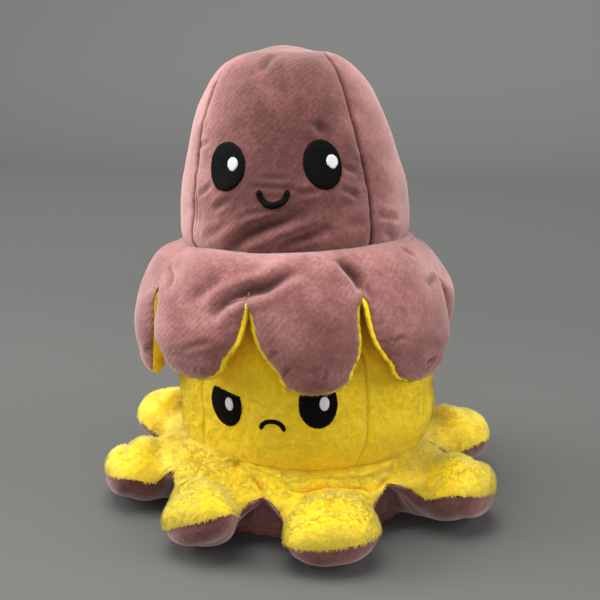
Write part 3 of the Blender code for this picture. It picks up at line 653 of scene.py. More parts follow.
class Finish:
    """A material in the making."""

    def __init__(self, name, **constants):
        self.material = bpy.data.materials.new(name)
        self.material.use_nodes = True
        self.tree = self.material.node_tree
        self.surface = self.tree.nodes["Principled BSDF"]
        for label, value in constants.items():
            self.surface.inputs[label.replace("_", " ")].default_value = value

    def node(self, kind, settings=None, inputs=None):
        """Adds a node and returns its outputs by name or number."""
        node = self.tree.nodes.new(kind)
        for label, value in (settings or {}).items():
            setattr(node, label, value)
        for label, value in (inputs or {}).items():
            self.feed(node.inputs[label], value)
        return {
            key: Socket(self, output)
            for number, output in enumerate(node.outputs)
            for key in (number, output.name)
            if output.enabled
        }

    def feed(self, socket, value):
        """Links or sets a node's input."""
        if isinstance(value, Socket):
            self.tree.links.new(value.link, socket)
        else:
            socket.default_value = value

    def mix(self, share, *colours):
        """Two colours mixed by a share."""
        first, second = (c if isinstance(c, Socket) else (*c, 1.0) for c in colours)
        settings = {"data_type": "RGBA", "clamp_factor": True}
        return self.node("ShaderNodeMix", settings, {0: share, 6: first, 7: second})["Result"]

    def noise(self, place, scale, detail=2.0, roughness=0.5):
        """A noise value from 0 to 1 at this scale."""
        inputs = {"Vector": place, "Scale": scale, "Detail": detail, "Roughness": roughness}
        return self.node("ShaderNodeTexNoise", {}, inputs)["Fac"]

    def bands(self, direction, scale, distortion, detail_scale):
        """Parallel bands from 0 to 1 on the cloth."""
        place = self.node("ShaderNodeUVMap", {"uv_map": "Cloth"})["UV"]
        settings = {"wave_type": "BANDS", "bands_direction": direction, "wave_profile": "SIN"}
        inputs = {"Vector": place, "Scale": scale, "Distortion": distortion}
        inputs |= {"Detail": 2.0, "Detail Scale": detail_scale}
        return self.node("ShaderNodeTexWave", settings, inputs)["Fac"]

    def attribute(self, name):
        """A value that the mesh carries."""
        return self.node("ShaderNodeAttribute", {"attribute_name": name})["Fac"]

    def object_place(self):
        """The place on the piece, in metres."""
        return self.node("ShaderNodeTexCoord")["Object"]

    def bump(self, height, strength, distance):
        """Feeds the surface's Normal."""
        made = self.node("ShaderNodeBump", {}, {"Height": height, "Strength": strength, "Distance": distance})
        self.feed(self.surface.inputs["Normal"], made["Normal"])

    def paint(self, colour, roughness=None):
        """Feeds the surface's colour and roughness."""
        self.feed(self.surface.inputs["Base Color"], colour)
        if roughness is not None:
            self.feed(self.surface.inputs["Roughness"], roughness)


def dimmed(colour, share):
    """A darker shade of a colour."""
    return tuple(share * part for part in colour)


def plush_finish(name, colours):
    """Bright short pile and a soft sheen, with painted highlights on its tips and painted shade in its hollows.
    """
    made = Finish(
        name, Roughness=0.9, Specular_IOR_Level=0.05,
        Sheen_Weight=0.2, Sheen_Roughness=0.45, Sheen_Tint=(1.0, 0.80, 0.10, 1.0),
        Subsurface_Weight=0.25, Subsurface_Radius=(1.0, 0.45, 0.05), Subsurface_Scale=0.004,
    )
    place = made.object_place()
    strands = made.noise(place, 1500, 3.0, 0.65)
    clumps = made.noise(place, 420, 3.0, 0.6)
    drift = made.noise(place, 45)
    # Painted highlight: the pile's tips and the tops of its clumps and strands are mixed towards a lit colour,
    # more where the nap share is high
    painted_tip_light = made.attribute("nap") * 0.6 + 0.15
    lit = made.attribute("tip") * painted_tip_light + clumps * 0.5 + strands * 0.2 - 0.28
    colour = made.mix(lit, colours.yellow, colours.yellow_painted_highlight)
    # Painted shade: deeper orange in the folds and seams and between the clumps
    deep = made.attribute("hollow") + (0.5 - clumps) * 0.3
    colour = made.mix(deep, colour, colours.yellow_painted_shade)
    made.paint(made.mix(drift * 0.3 - 0.05, colour, colours.yellow))
    made.bump(clumps * 0.6 + strands * 0.4, 0.6, 0.0008)
    return made.material


def velvet_finish(name, colours):
    """Brushed short velvet on a ribbed knit: a bright grazing sheen, nap that lies in patches, and painted
    light and shade.
    """
    made = Finish(
        name, Specular_IOR_Level=0.08, Sheen_Weight=0.6, Sheen_Roughness=0.5, Sheen_Tint=(1.0, 0.74, 0.71, 1.0)
    )
    place = made.object_place()
    ribs = made.bands("DIAGONAL", 170.0, 3.0, 2.5)
    nap = made.noise(place, 95, 4.0, 0.6)
    drift = made.noise(place, 30)
    fibre = made.noise(place, 2200, 2.0, 0.6)
    grain = made.noise(place, 520, 4.0, 0.7)
    # Painted light and shade: the mesh's nap share picks between the shaded and lit copies of the mauve, and
    # random patches of nap, grain and drift vary it
    brushed = made.attribute("nap") + (nap - 0.5) * 0.9 + (grain - 0.5) * 0.8 + (drift - 0.5) * 0.4
    colour = made.mix(brushed * 2, colours.mauve_rib_and_painted_shade, colours.mauve)
    colour = made.mix(brushed * 2 - 1, colour, colours.mauve_painted_light)
    colour = made.mix(ribs * 0.10, colour, colours.mauve_rib_and_painted_shade)
    # Painted shade in the folds and seams
    colour = made.mix(made.attribute("hollow") * 0.8, colour, colours.mauve_painted_fold_shade)
    made.paint(colour, nap * 0.2 + 0.68)
    made.bump(ribs * 0.25 + grain * 0.5 + fibre * 0.4, 0.45, 0.0005)
    return made.material


def thread_finish(name, colour, sheen):
    """Satin stitch: close parallel threads with a silky shine."""
    made = Finish(name, Sheen_Weight=sheen, Sheen_Roughness=0.4, Specular_IOR_Level=0.05)
    threads = made.bands("Y", 780.0, 0.8, 3.0)
    drift = made.noise(made.object_place(), 260)
    # Painted shade in the grooves between the threads, with some random drift in tone
    colour = made.mix(threads * 0.6 + drift * 0.4, dimmed(colour, 0.55), colour)
    made.paint(colour, drift * 0.25 + 0.48)
    made.bump(threads, 0.4, 0.0002)
    return made.material


def fill_finish(name, colour):
    """Loose white polyester fibre."""
    made = Finish(name, Roughness=0.95, Sheen_Weight=0.4, Subsurface_Weight=0.3, Subsurface_Scale=0.005)
    place = made.object_place()
    height = made.noise(place, 700, 5.0, 0.7) * 0.6 + made.noise(place, 120, 3.0, 0.5) * 0.4
    # Painted shade where the fibre's bumps are low
    made.paint(made.mix(height, dimmed(colour, 0.72), colour))
    made.bump(height, 0.8, 0.0012)
    return made.material


# ---------------------------------------------------------------- user settings


def colour_property(name, description, default):
    """A colour that a user may change."""
    return bpy.props.FloatVectorProperty(
        name=name, description=description, default=default, size=3, subtype="COLOR", min=0.0, max=1.0
    )


def length_property(name, description, default):
    """A length that a user may change."""
    return bpy.props.FloatProperty(
        name=name, description=description, default=default, min=0.0, unit="LENGTH", precision=4
    )


def number_property(name, description, default, low, high):
    """An angle, share or count that a user may change."""
    return bpy.props.FloatProperty(name=name, description=description, default=default, min=low, max=high)


def light_property(name, watts):
    """The power of a light, which a user may change."""
    return bpy.props.FloatProperty(name=name, description="Watts", default=watts, min=0.0)


class PlushColours(bpy.types.PropertyGroup):
    """The colours of cloth, thread and fill."""

    yellow: colour_property("Yellow", "Plush of the lower toy", (1.0, 0.63, 0.004))
    # Painted highlight on the pile's tips and clumps
    yellow_painted_highlight: colour_property("Yellow tips", "Lit ends of the pile", (1.0, 0.93, 0.26))
    # Painted shade in the plush's folds and seams and between its clumps
    yellow_painted_shade: colour_property("Yellow hollows", "Plush down in its folds", (1.0, 0.30, 0.001))
    mauve: colour_property("Mauve", "Velvet of the upper toy", (0.215, 0.080, 0.073))
    # Lit and shaded copies of the mauve, for painted light and shade; the darker one also colours the ribs'
    # stripes
    mauve_painted_light: colour_property("Mauve nap", "Velvet brushed towards the light", (0.38, 0.180, 0.168))
    mauve_rib_and_painted_shade: colour_property("Mauve shade", "Velvet brushed away from the light", (0.085, 0.027, 0.023))
    # Painted shade in the velvet's folds and seams
    mauve_painted_fold_shade: colour_property("Mauve hollows", "Velvet down in its folds", (0.030, 0.007, 0.006))
    black: colour_property("Black thread", "Eyes and mouths", (0.0016, 0.0016, 0.002))
    glint: colour_property("Glint thread", "Spots in the eyes", (0.78, 0.74, 0.80))
    fill: colour_property("Fill", "Polyester stuffing", (0.86, 0.86, 0.84))


class PlushCloth(bpy.types.PropertyGroup):
    """How the cloth is sewn and stuffed."""

    spacing: length_property("Mesh spacing", "Distance between points of the cloth", 0.00095)
    pile: length_property("Pile length", "Length of the yellow plush's pile", 0.0017)
    pile_density: number_property("Pile density", "Tufts in each square millimetre", 2.8, 0.0, 4.0)
    cloth: length_property("Cloth", "Thickness of the sewn cloth", 0.002)


class PlushStage(bpy.types.PropertyGroup):
    """The camera, lights and floor."""

    lens: bpy.props.FloatProperty(name="Lens", description="Focal length in millimetres", default=75.0)
    distance: length_property("Distance", "From the camera to the middle of the toys", 0.640)
    aim: length_property("Aim", "Height that the camera looks at", 0.105)
    azimuth: number_property("Azimuth", "Degrees round from the faces", 12.0, -180, 180)
    elevation: number_property("Elevation", "Degrees above level", 16.0, -90, 90)
    floor: colour_property("Floor", "Floor and backdrop", (0.176, 0.176, 0.168))
    top_power: light_property("Top light", 22.0)
    left_power: light_property("Left light", 17.0)
    right_power: light_property("Right light", 11.0)
    front_power: light_property("Front light", 7.0)


# ---------------------------------------------------------------- the toys' looks

# Each head: the front panel's span in degrees, then how its cloth bulges, puckers, leans and folds
HEAD_LOOKS = {
    "lower": {
        "front": 80.0, "bulge": 0.7, "seam_depth": 0.5, "seam_width": 1.1, "pucker": 0.2, "undulation": 0.9,
        "lean": 0.0, "crown_back": 6.0, "bulge_aside": 3.2, "overhang": 5.0, "creases": (),
    },
    "upper": {
        "front": 102.0, "bulge": 1.2, "seam_depth": 0.9, "seam_width": 1.1, "pucker": 0.6, "undulation": 1.3,
        "lean": -2.2, "crown_back": 22.0, "bulge_aside": 0.0, "overhang": 0.0, "creases": UPPER_HEAD_CREASES,
    },
}
HEAD_OUTLINES = {"lower": LOWER_HEAD, "upper": UPPER_HEAD}
LEG_CREASES = {"lower": LOWER_LEG_CREASES, "upper": UPPER_LEG_CREASES}
# Each toy is measured from the height of its legs' hinges
TOYS = {"lower": Toy("lower", 30.0), "upper": Toy("upper", -1.0)}
HEADS = {prefix: Head(toy, HEAD_OUTLINES[prefix], HEAD_LOOKS[prefix]) for prefix, toy in TOYS.items()}
# The lowest that the cloth may come to the floor, outside and inside
FLOOR_GAP, INNER_FLOOR_GAP = 0.05, 0.6
MATERIALS = {}


def finish_of(slot):
    """The material for a slot of the record, made once."""
    colours = bpy.context.scene.plush_colours
    if slot not in MATERIALS:
        MATERIALS[slot] = {
            "yellow_plush": lambda: plush_finish("Yellow plush", colours),
            "mauve_velvet": lambda: velvet_finish("Mauve velvet", colours),
            "black_thread": lambda: thread_finish("Black thread", colours.black, 0.0),
            "white_thread": lambda: thread_finish("Glint thread", colours.glint, 0.3),
            "polyester_fill": lambda: fill_finish("Polyester fill", colours.fill),
        }[slot]()
    return MATERIALS[slot]


def settle(made, nodes, body, other=None, start=None, end=None):
    """Hides the imported parts that a piece stands for, and puts it under its body's empty; a leg half only has
    its place applied to its mesh.
    """
    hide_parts(*nodes)
    if other is None:
        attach(made, body)
    else:
        tuple(start * MM)
        tuple(end * MM)
        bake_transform(made)


def fitted(count):
    """A count of rows or columns that the coarse inner skin divides."""
    return INNER_STEP * max(1, round(count / INNER_STEP)) + 1


def cloth_texture(points, yellow):
    """How far the pile or nap stands above the cloth."""
    if yellow:
        return 0.26 * soft_noise(points, 2.4, 31) + 0.2 * soft_noise(points, 1.3, 32)
    return 0.07 * soft_noise(points, 2.2, 33)


# The bearing, facing the camera, at which the painted light on the velvet is least
PAINTED_DARK_BEARING = 10.0
# How far a panel's edge stays from the middle of its seam
SEAM_GAP = 0.12


def sew_head_panel(prefix, label, span):
    """One cloth panel of a head, with its edges rolled into the seams."""
    head, cloth = HEADS[prefix], bpy.context.scene.plush_cloth
    spacing = cloth.spacing / MM
    yellow = prefix == "lower"
    low, high = span
    columns = fitted(math.radians(high - low) * head.radius.max() / spacing)
    rows = fitted(head.way[-1] / spacing)
    turn = np.linspace(-1, 1, columns)
    turn = 0.82 * turn + 0.18 * np.sin(turn * math.pi / 2)
    bearing = (low + high) / 2 + turn * (high - low) / 2
    bearing, way = np.meshgrid(bearing, np.linspace(0.05, head.way[-1] - 0.05, rows))
    base, grid = (head.skin(bearing, way, fine) for fine in (False, True))
    normals = head.normal(bearing, way)
    radius, height = (np.interp(way, head.way, part) for part in (head.radius, head.height))
    gap = np.radians(np.minimum(bearing - low, high - bearing)) * radius
    # Painted shade in the creases and along the seams, less of it along the yellow seams
    hollow = np.clip(((base - grid) * normals).sum(-1) / 2.2, 0, 1)
    hollow = hollow + (0.15 if yellow else 0.8) * bell(gap / 0.9)
    if yellow:
        # The upper toy's shade
        hollow = hollow + 0.22 * eased(76, 104, height)
    tucked = (0.5 if yellow else 0.8) * bell(gap / 0.6)
    grid = grid + normals * (cloth_texture(grid, yellow) * eased(0, 3, gap) - tucked)[..., None]
    # The edges end just short of the seam
    shy = np.sign(bearing - (low + high) / 2) * bell(gap / 1.2) * SEAM_GAP
    grid = grid - head.toy.outward(bearing + 90) * shy[..., None]
    under = grid - normals * cloth.cloth / MM * 0.8
    # Painted light and shade on the velvet: darkest at the bearing that faces the camera and lighter towards
    # the sides, more so on the side towards the left lamp, a little lighter near the top and more near the
    # bottom, with some random tone
    off = turned(bearing - PAINTED_DARK_BEARING)
    nap = 0.06 + np.where(off < 0, 0.95, 0.72) * eased(20, 82, np.abs(off))
    nap = nap + 0.06 * eased(60, 85, height) + 0.22 * eased(28, 6, height) + 0.12 * soft_noise(base, 16, 81)
    tufts = None
    if yellow:
        # On the plush only a small share of this painted light goes to the pile's tips
        nap = 0.15 * nap
        # No pile where the upper toy sits
        seen = eased(118, 108, height)
        length = cloth.pile / MM * 0.75
        tufts = pile(grid, normals, cloth.pile_density, length, -head.toy.up, 100 + len(label), seen)
    slot = "yellow_plush" if yellow else "mauve_velvet"
    made = closed_body(
        f"{prefix}_{label}_cloth", grid, under[::INNER_STEP, ::INNER_STEP], finish_of(slot),
        hollow=np.clip(hollow, 0, 1), nap=nap, tufts=tufts,
    )
    settle(made, [f"{prefix}_{label}"], f"{prefix}_toy")


class PLUSH_OT_heads(bpy.types.Operator):
    """Sews the four panels of each head"""

    bl_idname = "plush.heads"
    bl_label = "Head panels"

    def execute(self, context):
        for prefix, head in HEADS.items():
            for label, span in head.panels.items():
                sew_head_panel(prefix, label, span)
        return {"FINISHED"}


# A leg's section: how square it is and how full its edge; its tip: how blunt it is and where its rows end
SQUARENESS, EDGE_FULLNESS = 2.3, 1.75
TIP_BLUNTNESS, TIP_END = 0.92, 0.985


def soft_min(first, second, width):
    """The smaller of two values, with the corner between them rounded."""
    return 0.5 * (first + second - np.sqrt((first - second) ** 2 + width**2))


def leg_grid(stations, tip, spans, columns, spacing, lips, fullness):
    """Half of a leg as a grid of (out, across, up), root row first, with its seam edges as the outer columns.

    The lips are how far the half stands out past its seam on its two sides.
    """
    line = curve_through(stations, spacing)
    last = line[-1]
    reach = np.array(tip) - last[:2]
    steps = max(6, int(np.linalg.norm(reach) * 1.5 / spacing))
    turns = np.linspace(0, 0.5 * math.pi * TIP_END, steps + 1)[1:, None]
    seam = last[:2] + reach * np.sin(turns)
    crest = seam + (last[2:4] - last[:2]) * np.cos(turns)
    width = last[4:5] * np.cos(turns) ** TIP_BLUNTNESS
    line = np.concatenate((line, np.column_stack((seam, crest, width, 0 * width))))
    picks = np.linspace(0, len(line) - 1, fitted(len(line)))
    line = np.stack([np.interp(picks, np.arange(len(line)), part) for part in line.T], -1)
    seam_out, seam_up, crest_out, crest_up, half, round_axis = (part[:, None] for part in line.T)
    v = np.linspace(-1, 1, columns)[None]
    eta = np.sin(v * math.pi / 2)
    # Near the root a leg is as wide as its share of the ring
    angle = np.radians(np.where(v < 0, *spans))
    sector = seam_out * (round_axis * np.sin(angle) + (1 - round_axis) * np.tan(angle))
    edge = soft_min(half, sector, 0.6 * (1.02 - round_axis)) + 0.3 * eased(0.05, 0.35, round_axis) - 0.015
    lip = np.where(v < 0, *lips)
    edge = edge + lip * eased(62, 70, np.hypot(seam_out, half)) * eased(0.45, 0.05, round_axis)
    across = eta * edge
    swell = np.clip(1 - np.abs(eta) ** SQUARENESS, 0, 1) ** (1 / EDGE_FULLNESS)
    swell = (swell + round_axis * (0.5 + 0.5 * np.cos(math.pi * eta) - swell)) * fullness
    out = seam_out + (crest_out - seam_out) * swell
    up = seam_up + (crest_up - seam_up) * swell
    out = out - round_axis * (out - np.sqrt(np.maximum(out**2 - across**2, 0)))
    return np.stack((out, across + 0 * out, up), -1)


# How each leg bends: its tip aside, longer, wider, plumper and up or out. The last value is the roll of a lower
# leg in degrees, and for an upper leg how its two edges' lips differ.
LEG_LOOKS = {
    "lower": (
        (-1, 1, 1, 1, 0, 3), (-3, 5, 1.02, 1.08, 1.5, -17), (0.5, 4, 1, 1.04, 4, -10),
        (-1, 0.5, 1, 0.98, 1, 6), (1, 0, 1.02, 1, 0, -5), (-0.5, 0, 0.98, 1.03, 8, 6),
        (0.5, 0.5, 1.02, 1, 0, 15), (10, 0.5, 1, 0.97, 0, 25),
    ),
    "upper": (
        (4, 1, 0.92, 1, 0, -3), (3, 0, 1.02, 1, 4.5, -14), (0, 1, 1, 0.8, -2.5, 0),
        (1, -1, 0.98, 1, 1, 0), (-1, 0, 1.02, 0.97, 0, 0), (1, 0.5, 1, 1, 1, 0),
        (0, 2, 1, 1, 2, 5), (-1, -6, 1.04, 1.02, 5, 14),
    ),
}
# The height about which a lower leg rolls, and the reach from which an upper one is plump
ROLL_HEIGHT, PLUMP_REACH = 15.0, 66.0


def vary_leg(grid, looks, lower):
    """Bends a leg's grid a little, more towards its tip, so that no two legs are alike."""
    aside, long, wide, plump, spread, roll = looks
    out, across, up = np.moveaxis(grid, -1, 0)
    share = eased(64, 92, out) if lower else eased(-17, -56, up)
    girth = eased(66, 80, out) if lower else eased(-16, -28, up)
    across = across * (1 + (wide - 1) * girth) + share**2.2 * aside
    if lower:
        out = out + share * long
        up = up * (1 + (plump - 1) * share) + share * spread
        tilt = np.radians(roll * share)
        mid = ROLL_HEIGHT + share * spread
        across, up = (
            across * np.cos(tilt) - (up - mid) * np.sin(tilt),
            mid + (up - mid) * np.cos(tilt) + across * np.sin(tilt),
        )
    else:
        up = up - share * long
        out = PLUMP_REACH + (out - PLUMP_REACH) * (1 + (plump - 1) * share) + share**1.3 * spread
    return np.stack((out, across, up), -1)


# The lower toy's skirt bunches up against its head: where, how widely and how far
COLLAR_BEARING, COLLAR_WIDTH, COLLAR_LIFT = -27.0, 26.0, 6.5
# The upper toy's skirt sags on its left side: where, how widely, and how far down and in
SAG_BEARING, SAG_WIDTH, SAG = 98.0, 26.0, (3.6, 3.2)
# A leg half's greatest width across the cloth, the distances from its seams and its tip to its middle, the
# pitch of its seam's puckers, and the thickness of the web between two legs
LEG_GIRTH, RIM_ACROSS, RIM_DOWN = 58.0, 27.0, 40.0
PUCKER_PITCH = 5.2
WEB_DEPTH = 1.6
# How far the yellow halves stand out past their seams, and what each degree of difference adds
LOWER_LIP, UPPER_LIP, LIP_ROLL = 0.9, 1.4, 0.075
# The way in which creases press on the webs between the legs and on the soles, as (in, down)
PRESS = {"lower": (0.5, 0.87), "upper": (0.9, 0.44)}


def collar_lift(toy, points):
    """How far the bunched cloth stands above the rest of the skirt."""
    bearing, reach, height = toy.measured(points)
    share = bell((bearing - COLLAR_BEARING) / COLLAR_WIDTH) * eased(75, 61, reach)
    return toy.up * (COLLAR_LIFT * share * eased(24, 30, height))[..., None]


def skirt_sag(toy, points, ahead):
    """How far the cloth hangs down and in where the skirt sags."""
    bearing, reach, height = toy.measured(points)
    share = bell((bearing - SAG_BEARING) / SAG_WIDTH) * eased(-44, -8, height) * eased(56, 66, reach)
    return (toy.up * -SAG[0] - ahead * SAG[1]) * share[..., None]


def seam_puckers(outer, rim, number):
    """The puckers along a leg's two side seams, from -1 to 1."""
    left, right = (way_along(outer[:, k])[:, None] for k in (0, -1))
    run = np.where(np.linspace(-1, 1, outer.shape[1]) < 0, left, right)
    phase = run / PUCKER_PITCH + 1.7 * soft_noise(outer, 14, 60 + number)
    return np.cos(2 * math.pi * phase) * np.exp(-rim / 4.5) * eased(8, 24, run)


def leg_half(prefix, number, half):
    """The cover or sole half of one leg, with its share of the skirt."""
    toy, cloth = TOYS[prefix], bpy.context.scene.plush_cloth
    lower, cover = prefix == "lower", half == "cover"
    yellow = lower == cover
    spacing = cloth.spacing / MM
    bearing = toy.bearings[number - 1]
    gaps = [abs(turned(toy.bearings[(number - 1 + way) % 8] - bearing)) / 2 for way in (-1, 1)]
    columns = fitted(LEG_GIRTH / spacing)
    looks = LEG_LOOKS[prefix][number - 1]
    lips = (0.0, 0.0)
    if yellow and lower:
        lips = (LOWER_LIP, LOWER_LIP)
    elif yellow:
        lips = (UPPER_LIP - LIP_ROLL * looks[-1], UPPER_LIP + LIP_ROLL * looks[-1])
    grids = []
    for fullness, edge in ((1.0, lips), (0.05, (-0.3, -0.3))):
        grid = leg_grid(*LEG_FORMS[prefix, half], gaps, columns, spacing, edge, fullness)
        grids.append(vary_leg(grid, looks, lower))
    out, _, up = np.moveaxis(grids[0], -1, 0)
    turn = math.radians(bearing)
    ahead = toy.front * math.cos(turn) + toy.side * math.sin(turn)
    aside = toy.side * math.cos(turn) - toy.front * math.sin(turn)
    outer, inner = (toy.origin + grid @ np.stack((ahead, aside, toy.up)) for grid in grids)
    web = eased(73, 67, out) if lower else eased(-20, -13, up)
    free = 1 - web
    normals = grid_normals(outer) if cover else -grid_normals(outer)
    across = 1 - np.abs(np.linspace(-1, 1, columns))[None]
    rim = np.minimum(across * RIM_ACROSS, np.linspace(1, 0, len(outer))[:, None] * RIM_DOWN + 0 * across)
    # The fill's unevenness, and puckers along the seams
    pucker = seam_puckers(outer, rim, number)
    depth = (0.12 if yellow else 0.38) * (0.55 + 0.45 * soft_noise(outer, 9, 64))
    billow = eased(0, 8, rim)
    billow = np.maximum(billow, web) if cover else billow * free
    rise = 0.9 * soft_noise(outer, 17, 40) * billow + pucker * depth * free
    # Folds sink the covers and press the webs and the soles in before them
    radial = outer - toy.origin
    radial = unit(radial - toy.up * (radial @ toy.up)[..., None])
    press = -unit(radial * PRESS[prefix][0] + toy.up * PRESS[prefix][1])
    creases = LEG_CREASES[prefix]
    if cover:
        near = (bell(across * RIM_ACROSS / 6) * web)[..., None]
        press = unit(press * near - normals * (1 - near))
        room = np.linalg.norm(outer - inner, axis=-1) * 0.7 + 9 * web
        sinks = [np.minimum(creased(outer, creases), room)] * 2
        # Painted shade in the creases and in the dips of the seams' puckers
        hollow = np.clip(sinks[0] / 2.4 - pucker * 0.25, 0, 1)
    else:
        follow = web if lower else eased(-32, -18, up)
        sinks = [
            1.15 * follow * creased(part - before * press, creases)
            for part, before in ((outer, 2), (inner, 0.5))
        ]
        # Painted shade on the upper soles, deepening away from their edges; none on the lower soles
        hollow = 0 * rise if lower else 0.35 * eased(3, 12, rim)
    rise = rise + cloth_texture(outer, yellow) * eased(0, 0.5, rim + 0.3)
    moved = outer + normals * rise[..., None] + press * sinks[0][..., None]
    behind = -normals if cover else -press
    inner = (inner + press * sinks[1][..., None]) * free[..., None]
    inner = inner + (moved + behind * WEB_DEPTH) * web[..., None]
    if lower:
        moved, inner = (part + collar_lift(toy, part) for part in (moved, inner))
    else:
        sag = skirt_sag(toy, moved, ahead)
        moved, inner = moved + sag, inner + sag
    if lower and not cover:
        moved[..., 2] = np.maximum(moved[..., 2], FLOOR_GAP)
        inner[..., 2] = np.maximum(inner[..., 2], INNER_FLOOR_GAP)
    if not cover:
        moved, inner, hollow, normals = (part[:, ::-1] for part in (moved, inner, hollow, normals))
    tufts = None
    if yellow:
        keep, length = (1.0, 1.0) if lower else ((bell(rim / 9) * free)[:, ::-1], 0.65)
        flow = ahead * 0.5 - toy.up * 0.8
        length = length * (cloth.pile / MM)
        tufts = pile(moved, normals, cloth.pile_density, length, flow, 200 + 10 * number, keep)
    # Painted light and shade: the lower covers' pile is lit most and the lower soles' velvet is shaded; the
    # upper legs get a middle share with some random tone, darker towards their tips
    if lower:
        nap = 0.9 + 0.1 * web if cover else 0.2
    else:
        nap = 0.57 + 0.03 * web + 0.18 * soft_noise(outer, 13, 82) - 0.10 * eased(-30, -52, up)
    slot = "yellow_plush" if yellow else "mauve_velvet"
    made = closed_body(
        f"{prefix}_leg_{number}_{half}_cloth", moved, inner[::INNER_STEP, ::INNER_STEP], finish_of(slot),
        hollow=hollow, nap=nap, tufts=tufts,
    )
    joint = next(j for j in frame["joints"] if j["name"] == f"{prefix}_leg_{number}_lift")
    hinge = np.array(joint["pos_m"]) / MM
    way, (start, end) = (ahead, (-1, 10)) if lower else (ahead * 0.6 - toy.up * 0.8, (4, 24))
    settle(
        made, [f"{prefix}_leg_{number}_{half}"], f"{prefix}_toy", f"{prefix}_leg_{number}",
        hinge + way * start, hinge + way * end,
    )


class PLUSH_OT_legs(bpy.types.Operator):
    """Sews the cover and sole halves of the sixteen legs"""

    bl_idname = "plush.legs"
    bl_label = "Legs"

    def execute(self, context):
        for prefix in TOYS:
            for number in LEGS:
                leg_half(prefix, number, "cover")
                leg_half(prefix, number, "sole")
        return {"FINISHED"}


def turned_body(name, toy, shown, behind, slot, gather, facing=1, capped=False, piled=False):
    """A body turned about a toy's axis, from the line that shows and the line behind it.

    Gather gives the depth and number of its folds.
    """
    cloth = bpy.context.scene.plush_cloth
    spacing = cloth.spacing / MM
    line = outline_through(shown, 0.2)
    way = way_along(line)
    rows = fitted(way[-1] / (1.3 * spacing))
    line = np.stack([np.interp(np.linspace(0, way[-1], rows), way, part) for part in line.T], -1)
    back = outline_through(behind, 0.2)
    back = back[np.linspace(0, len(back) - 1, (rows - 1) // INNER_STEP + 1).round().astype(int)]
    columns = fitted(2 * math.pi * line[:, 0].max() / (1.6 * spacing))
    bearing = np.linspace(0, 360, columns)[None]
    radius, height = line[:, :1], line[:, 1:]
    outer = toy.on_ring(radius + 0 * bearing, bearing + 0 * radius, height + 0 * bearing)
    slope = unit(np.gradient(line, axis=0))
    normal = toy.outward(bearing + 0 * radius) * (-slope[:, 1] * facing)[:, None, None]
    normal = normal + toy.up * (slope[:, 0] * facing)[:, None, None]
    depth, folds = gather
    fold = np.cos(np.radians(bearing) * folds + soft_noise(outer, 18, 71) * 1.4) * depth
    rise = cloth_texture(outer, slot == "yellow_plush")
    rise = rise + fold * eased(0, 12, radius) + 0.6 * soft_noise(outer, 9, 72) * eased(0, 12, radius)
    outer = outer + normal * rise[..., None]
    outer[..., 2] = np.maximum(outer[..., 2], FLOOR_GAP)
    outer[:, -1] = outer[:, 0]
    around = bearing[:, ::INNER_STEP]
    inner = toy.on_ring(back[:, :1] + 0 * around, around + 0 * back[:, :1], back[:, 1:] + 0 * around)
    inner[:, -1] = inner[:, 0]
    if piled:
        outer, inner = (part + collar_lift(toy, part) for part in (outer, inner))
    # Painted shade in the folds
    hollow = np.clip(-rise / 3, 0, 1)
    if facing < 0:
        outer, inner, hollow, normal = (part[:, ::-1] for part in (outer, inner, hollow, normal))
    tufts = None
    if piled:
        tufts = pile(outer, normal, cloth.pile_density, cloth.pile / MM * 0.8, -toy.up, 500 + rows)
    # Painted light on rings that face out, such as the skirt tops, and painted shade on the soles and pockets
    return closed_body(
        name, outer, inner, finish_of(slot), hollow=hollow, nap=0.9 if facing > 0 else 0.2, wrap=True,
        capped=capped, tufts=tufts,
    )


class PLUSH_OT_skirts(bpy.types.Operator):
    """Lays the rings of cloth that the legs are sewn to"""

    bl_idname = "plush.skirts"
    bl_label = "Skirts"

    def execute(self, context):
        for label, (shown, behind) in SKIRTS.items():
            prefix, half = label.split("_")
            top = half == "top"
            yellow = (prefix == "lower") == top
            slot = "yellow_plush" if yellow else "mauve_velvet"
            if not top:
                shown, behind = shown[::-1], behind[::-1]
            made = turned_body(
                f"{prefix}_skirt_{half}_cloth", TOYS[prefix], shown, behind, slot,
                (0.25, 32) if top else (0.35, 40), 1 if top else -1, piled=top and yellow,
            )
            settle(made, [f"{prefix}_skirt_{half}"], f"{prefix}_toy")
        return {"FINISHED"}


# Each head's fill: the height and radius of its foot, and how far it stays inside the cloth
FILLS = {"lower": (6.0, 48.5, 7.0), "upper": (-9.0, 45.0, 3.4)}


class PLUSH_OT_insides(bpy.types.Operator):
    """Tucks in the pockets and stuffs the heads"""

    bl_idname = "plush.insides"
    bl_label = "Pockets and stuffing"

    def execute(self, context):
        for prefix, toy in TOYS.items():
            wall = POCKETS[prefix]
            behind = [(r + 1.9, z + 1.4) if r > 1 else (r, z + 1.9) for r, z in wall]
            slot = "mauve_velvet" if prefix == "lower" else "yellow_plush"
            made = turned_body(f"{prefix}_pocket_cloth", toy, wall, behind, slot, (0.7, 11), -1, capped=True)
            settle(made, [f"{prefix}_pocket_lining"], f"{prefix}_toy")
            foot, waist, slack = FILLS[prefix]
            head = [(max(r - slack, 0.3), z - 3.2 if r < 30 else z - 1.6) for r, z in HEAD_OUTLINES[prefix]]
            head = [(r, z) for r, z in head if z > foot + 3] + [(waist, foot)]
            core = [(r + 3.2, z + 3.4) if r > 1 else (0.3, z + 4) for r, z in wall]
            core = [(r, z) for r, z in core if z > foot + 1]
            core.append((core[-1][0], foot))
            slot = "polyester_fill"
            made = turned_body(f"{prefix}_stuffing", toy, head, core, slot, (0.4, 7), capped=True)
            settle(made, [f"{prefix}_head_stuffing"], f"{prefix}_toy")
        return {"FINISHED"}


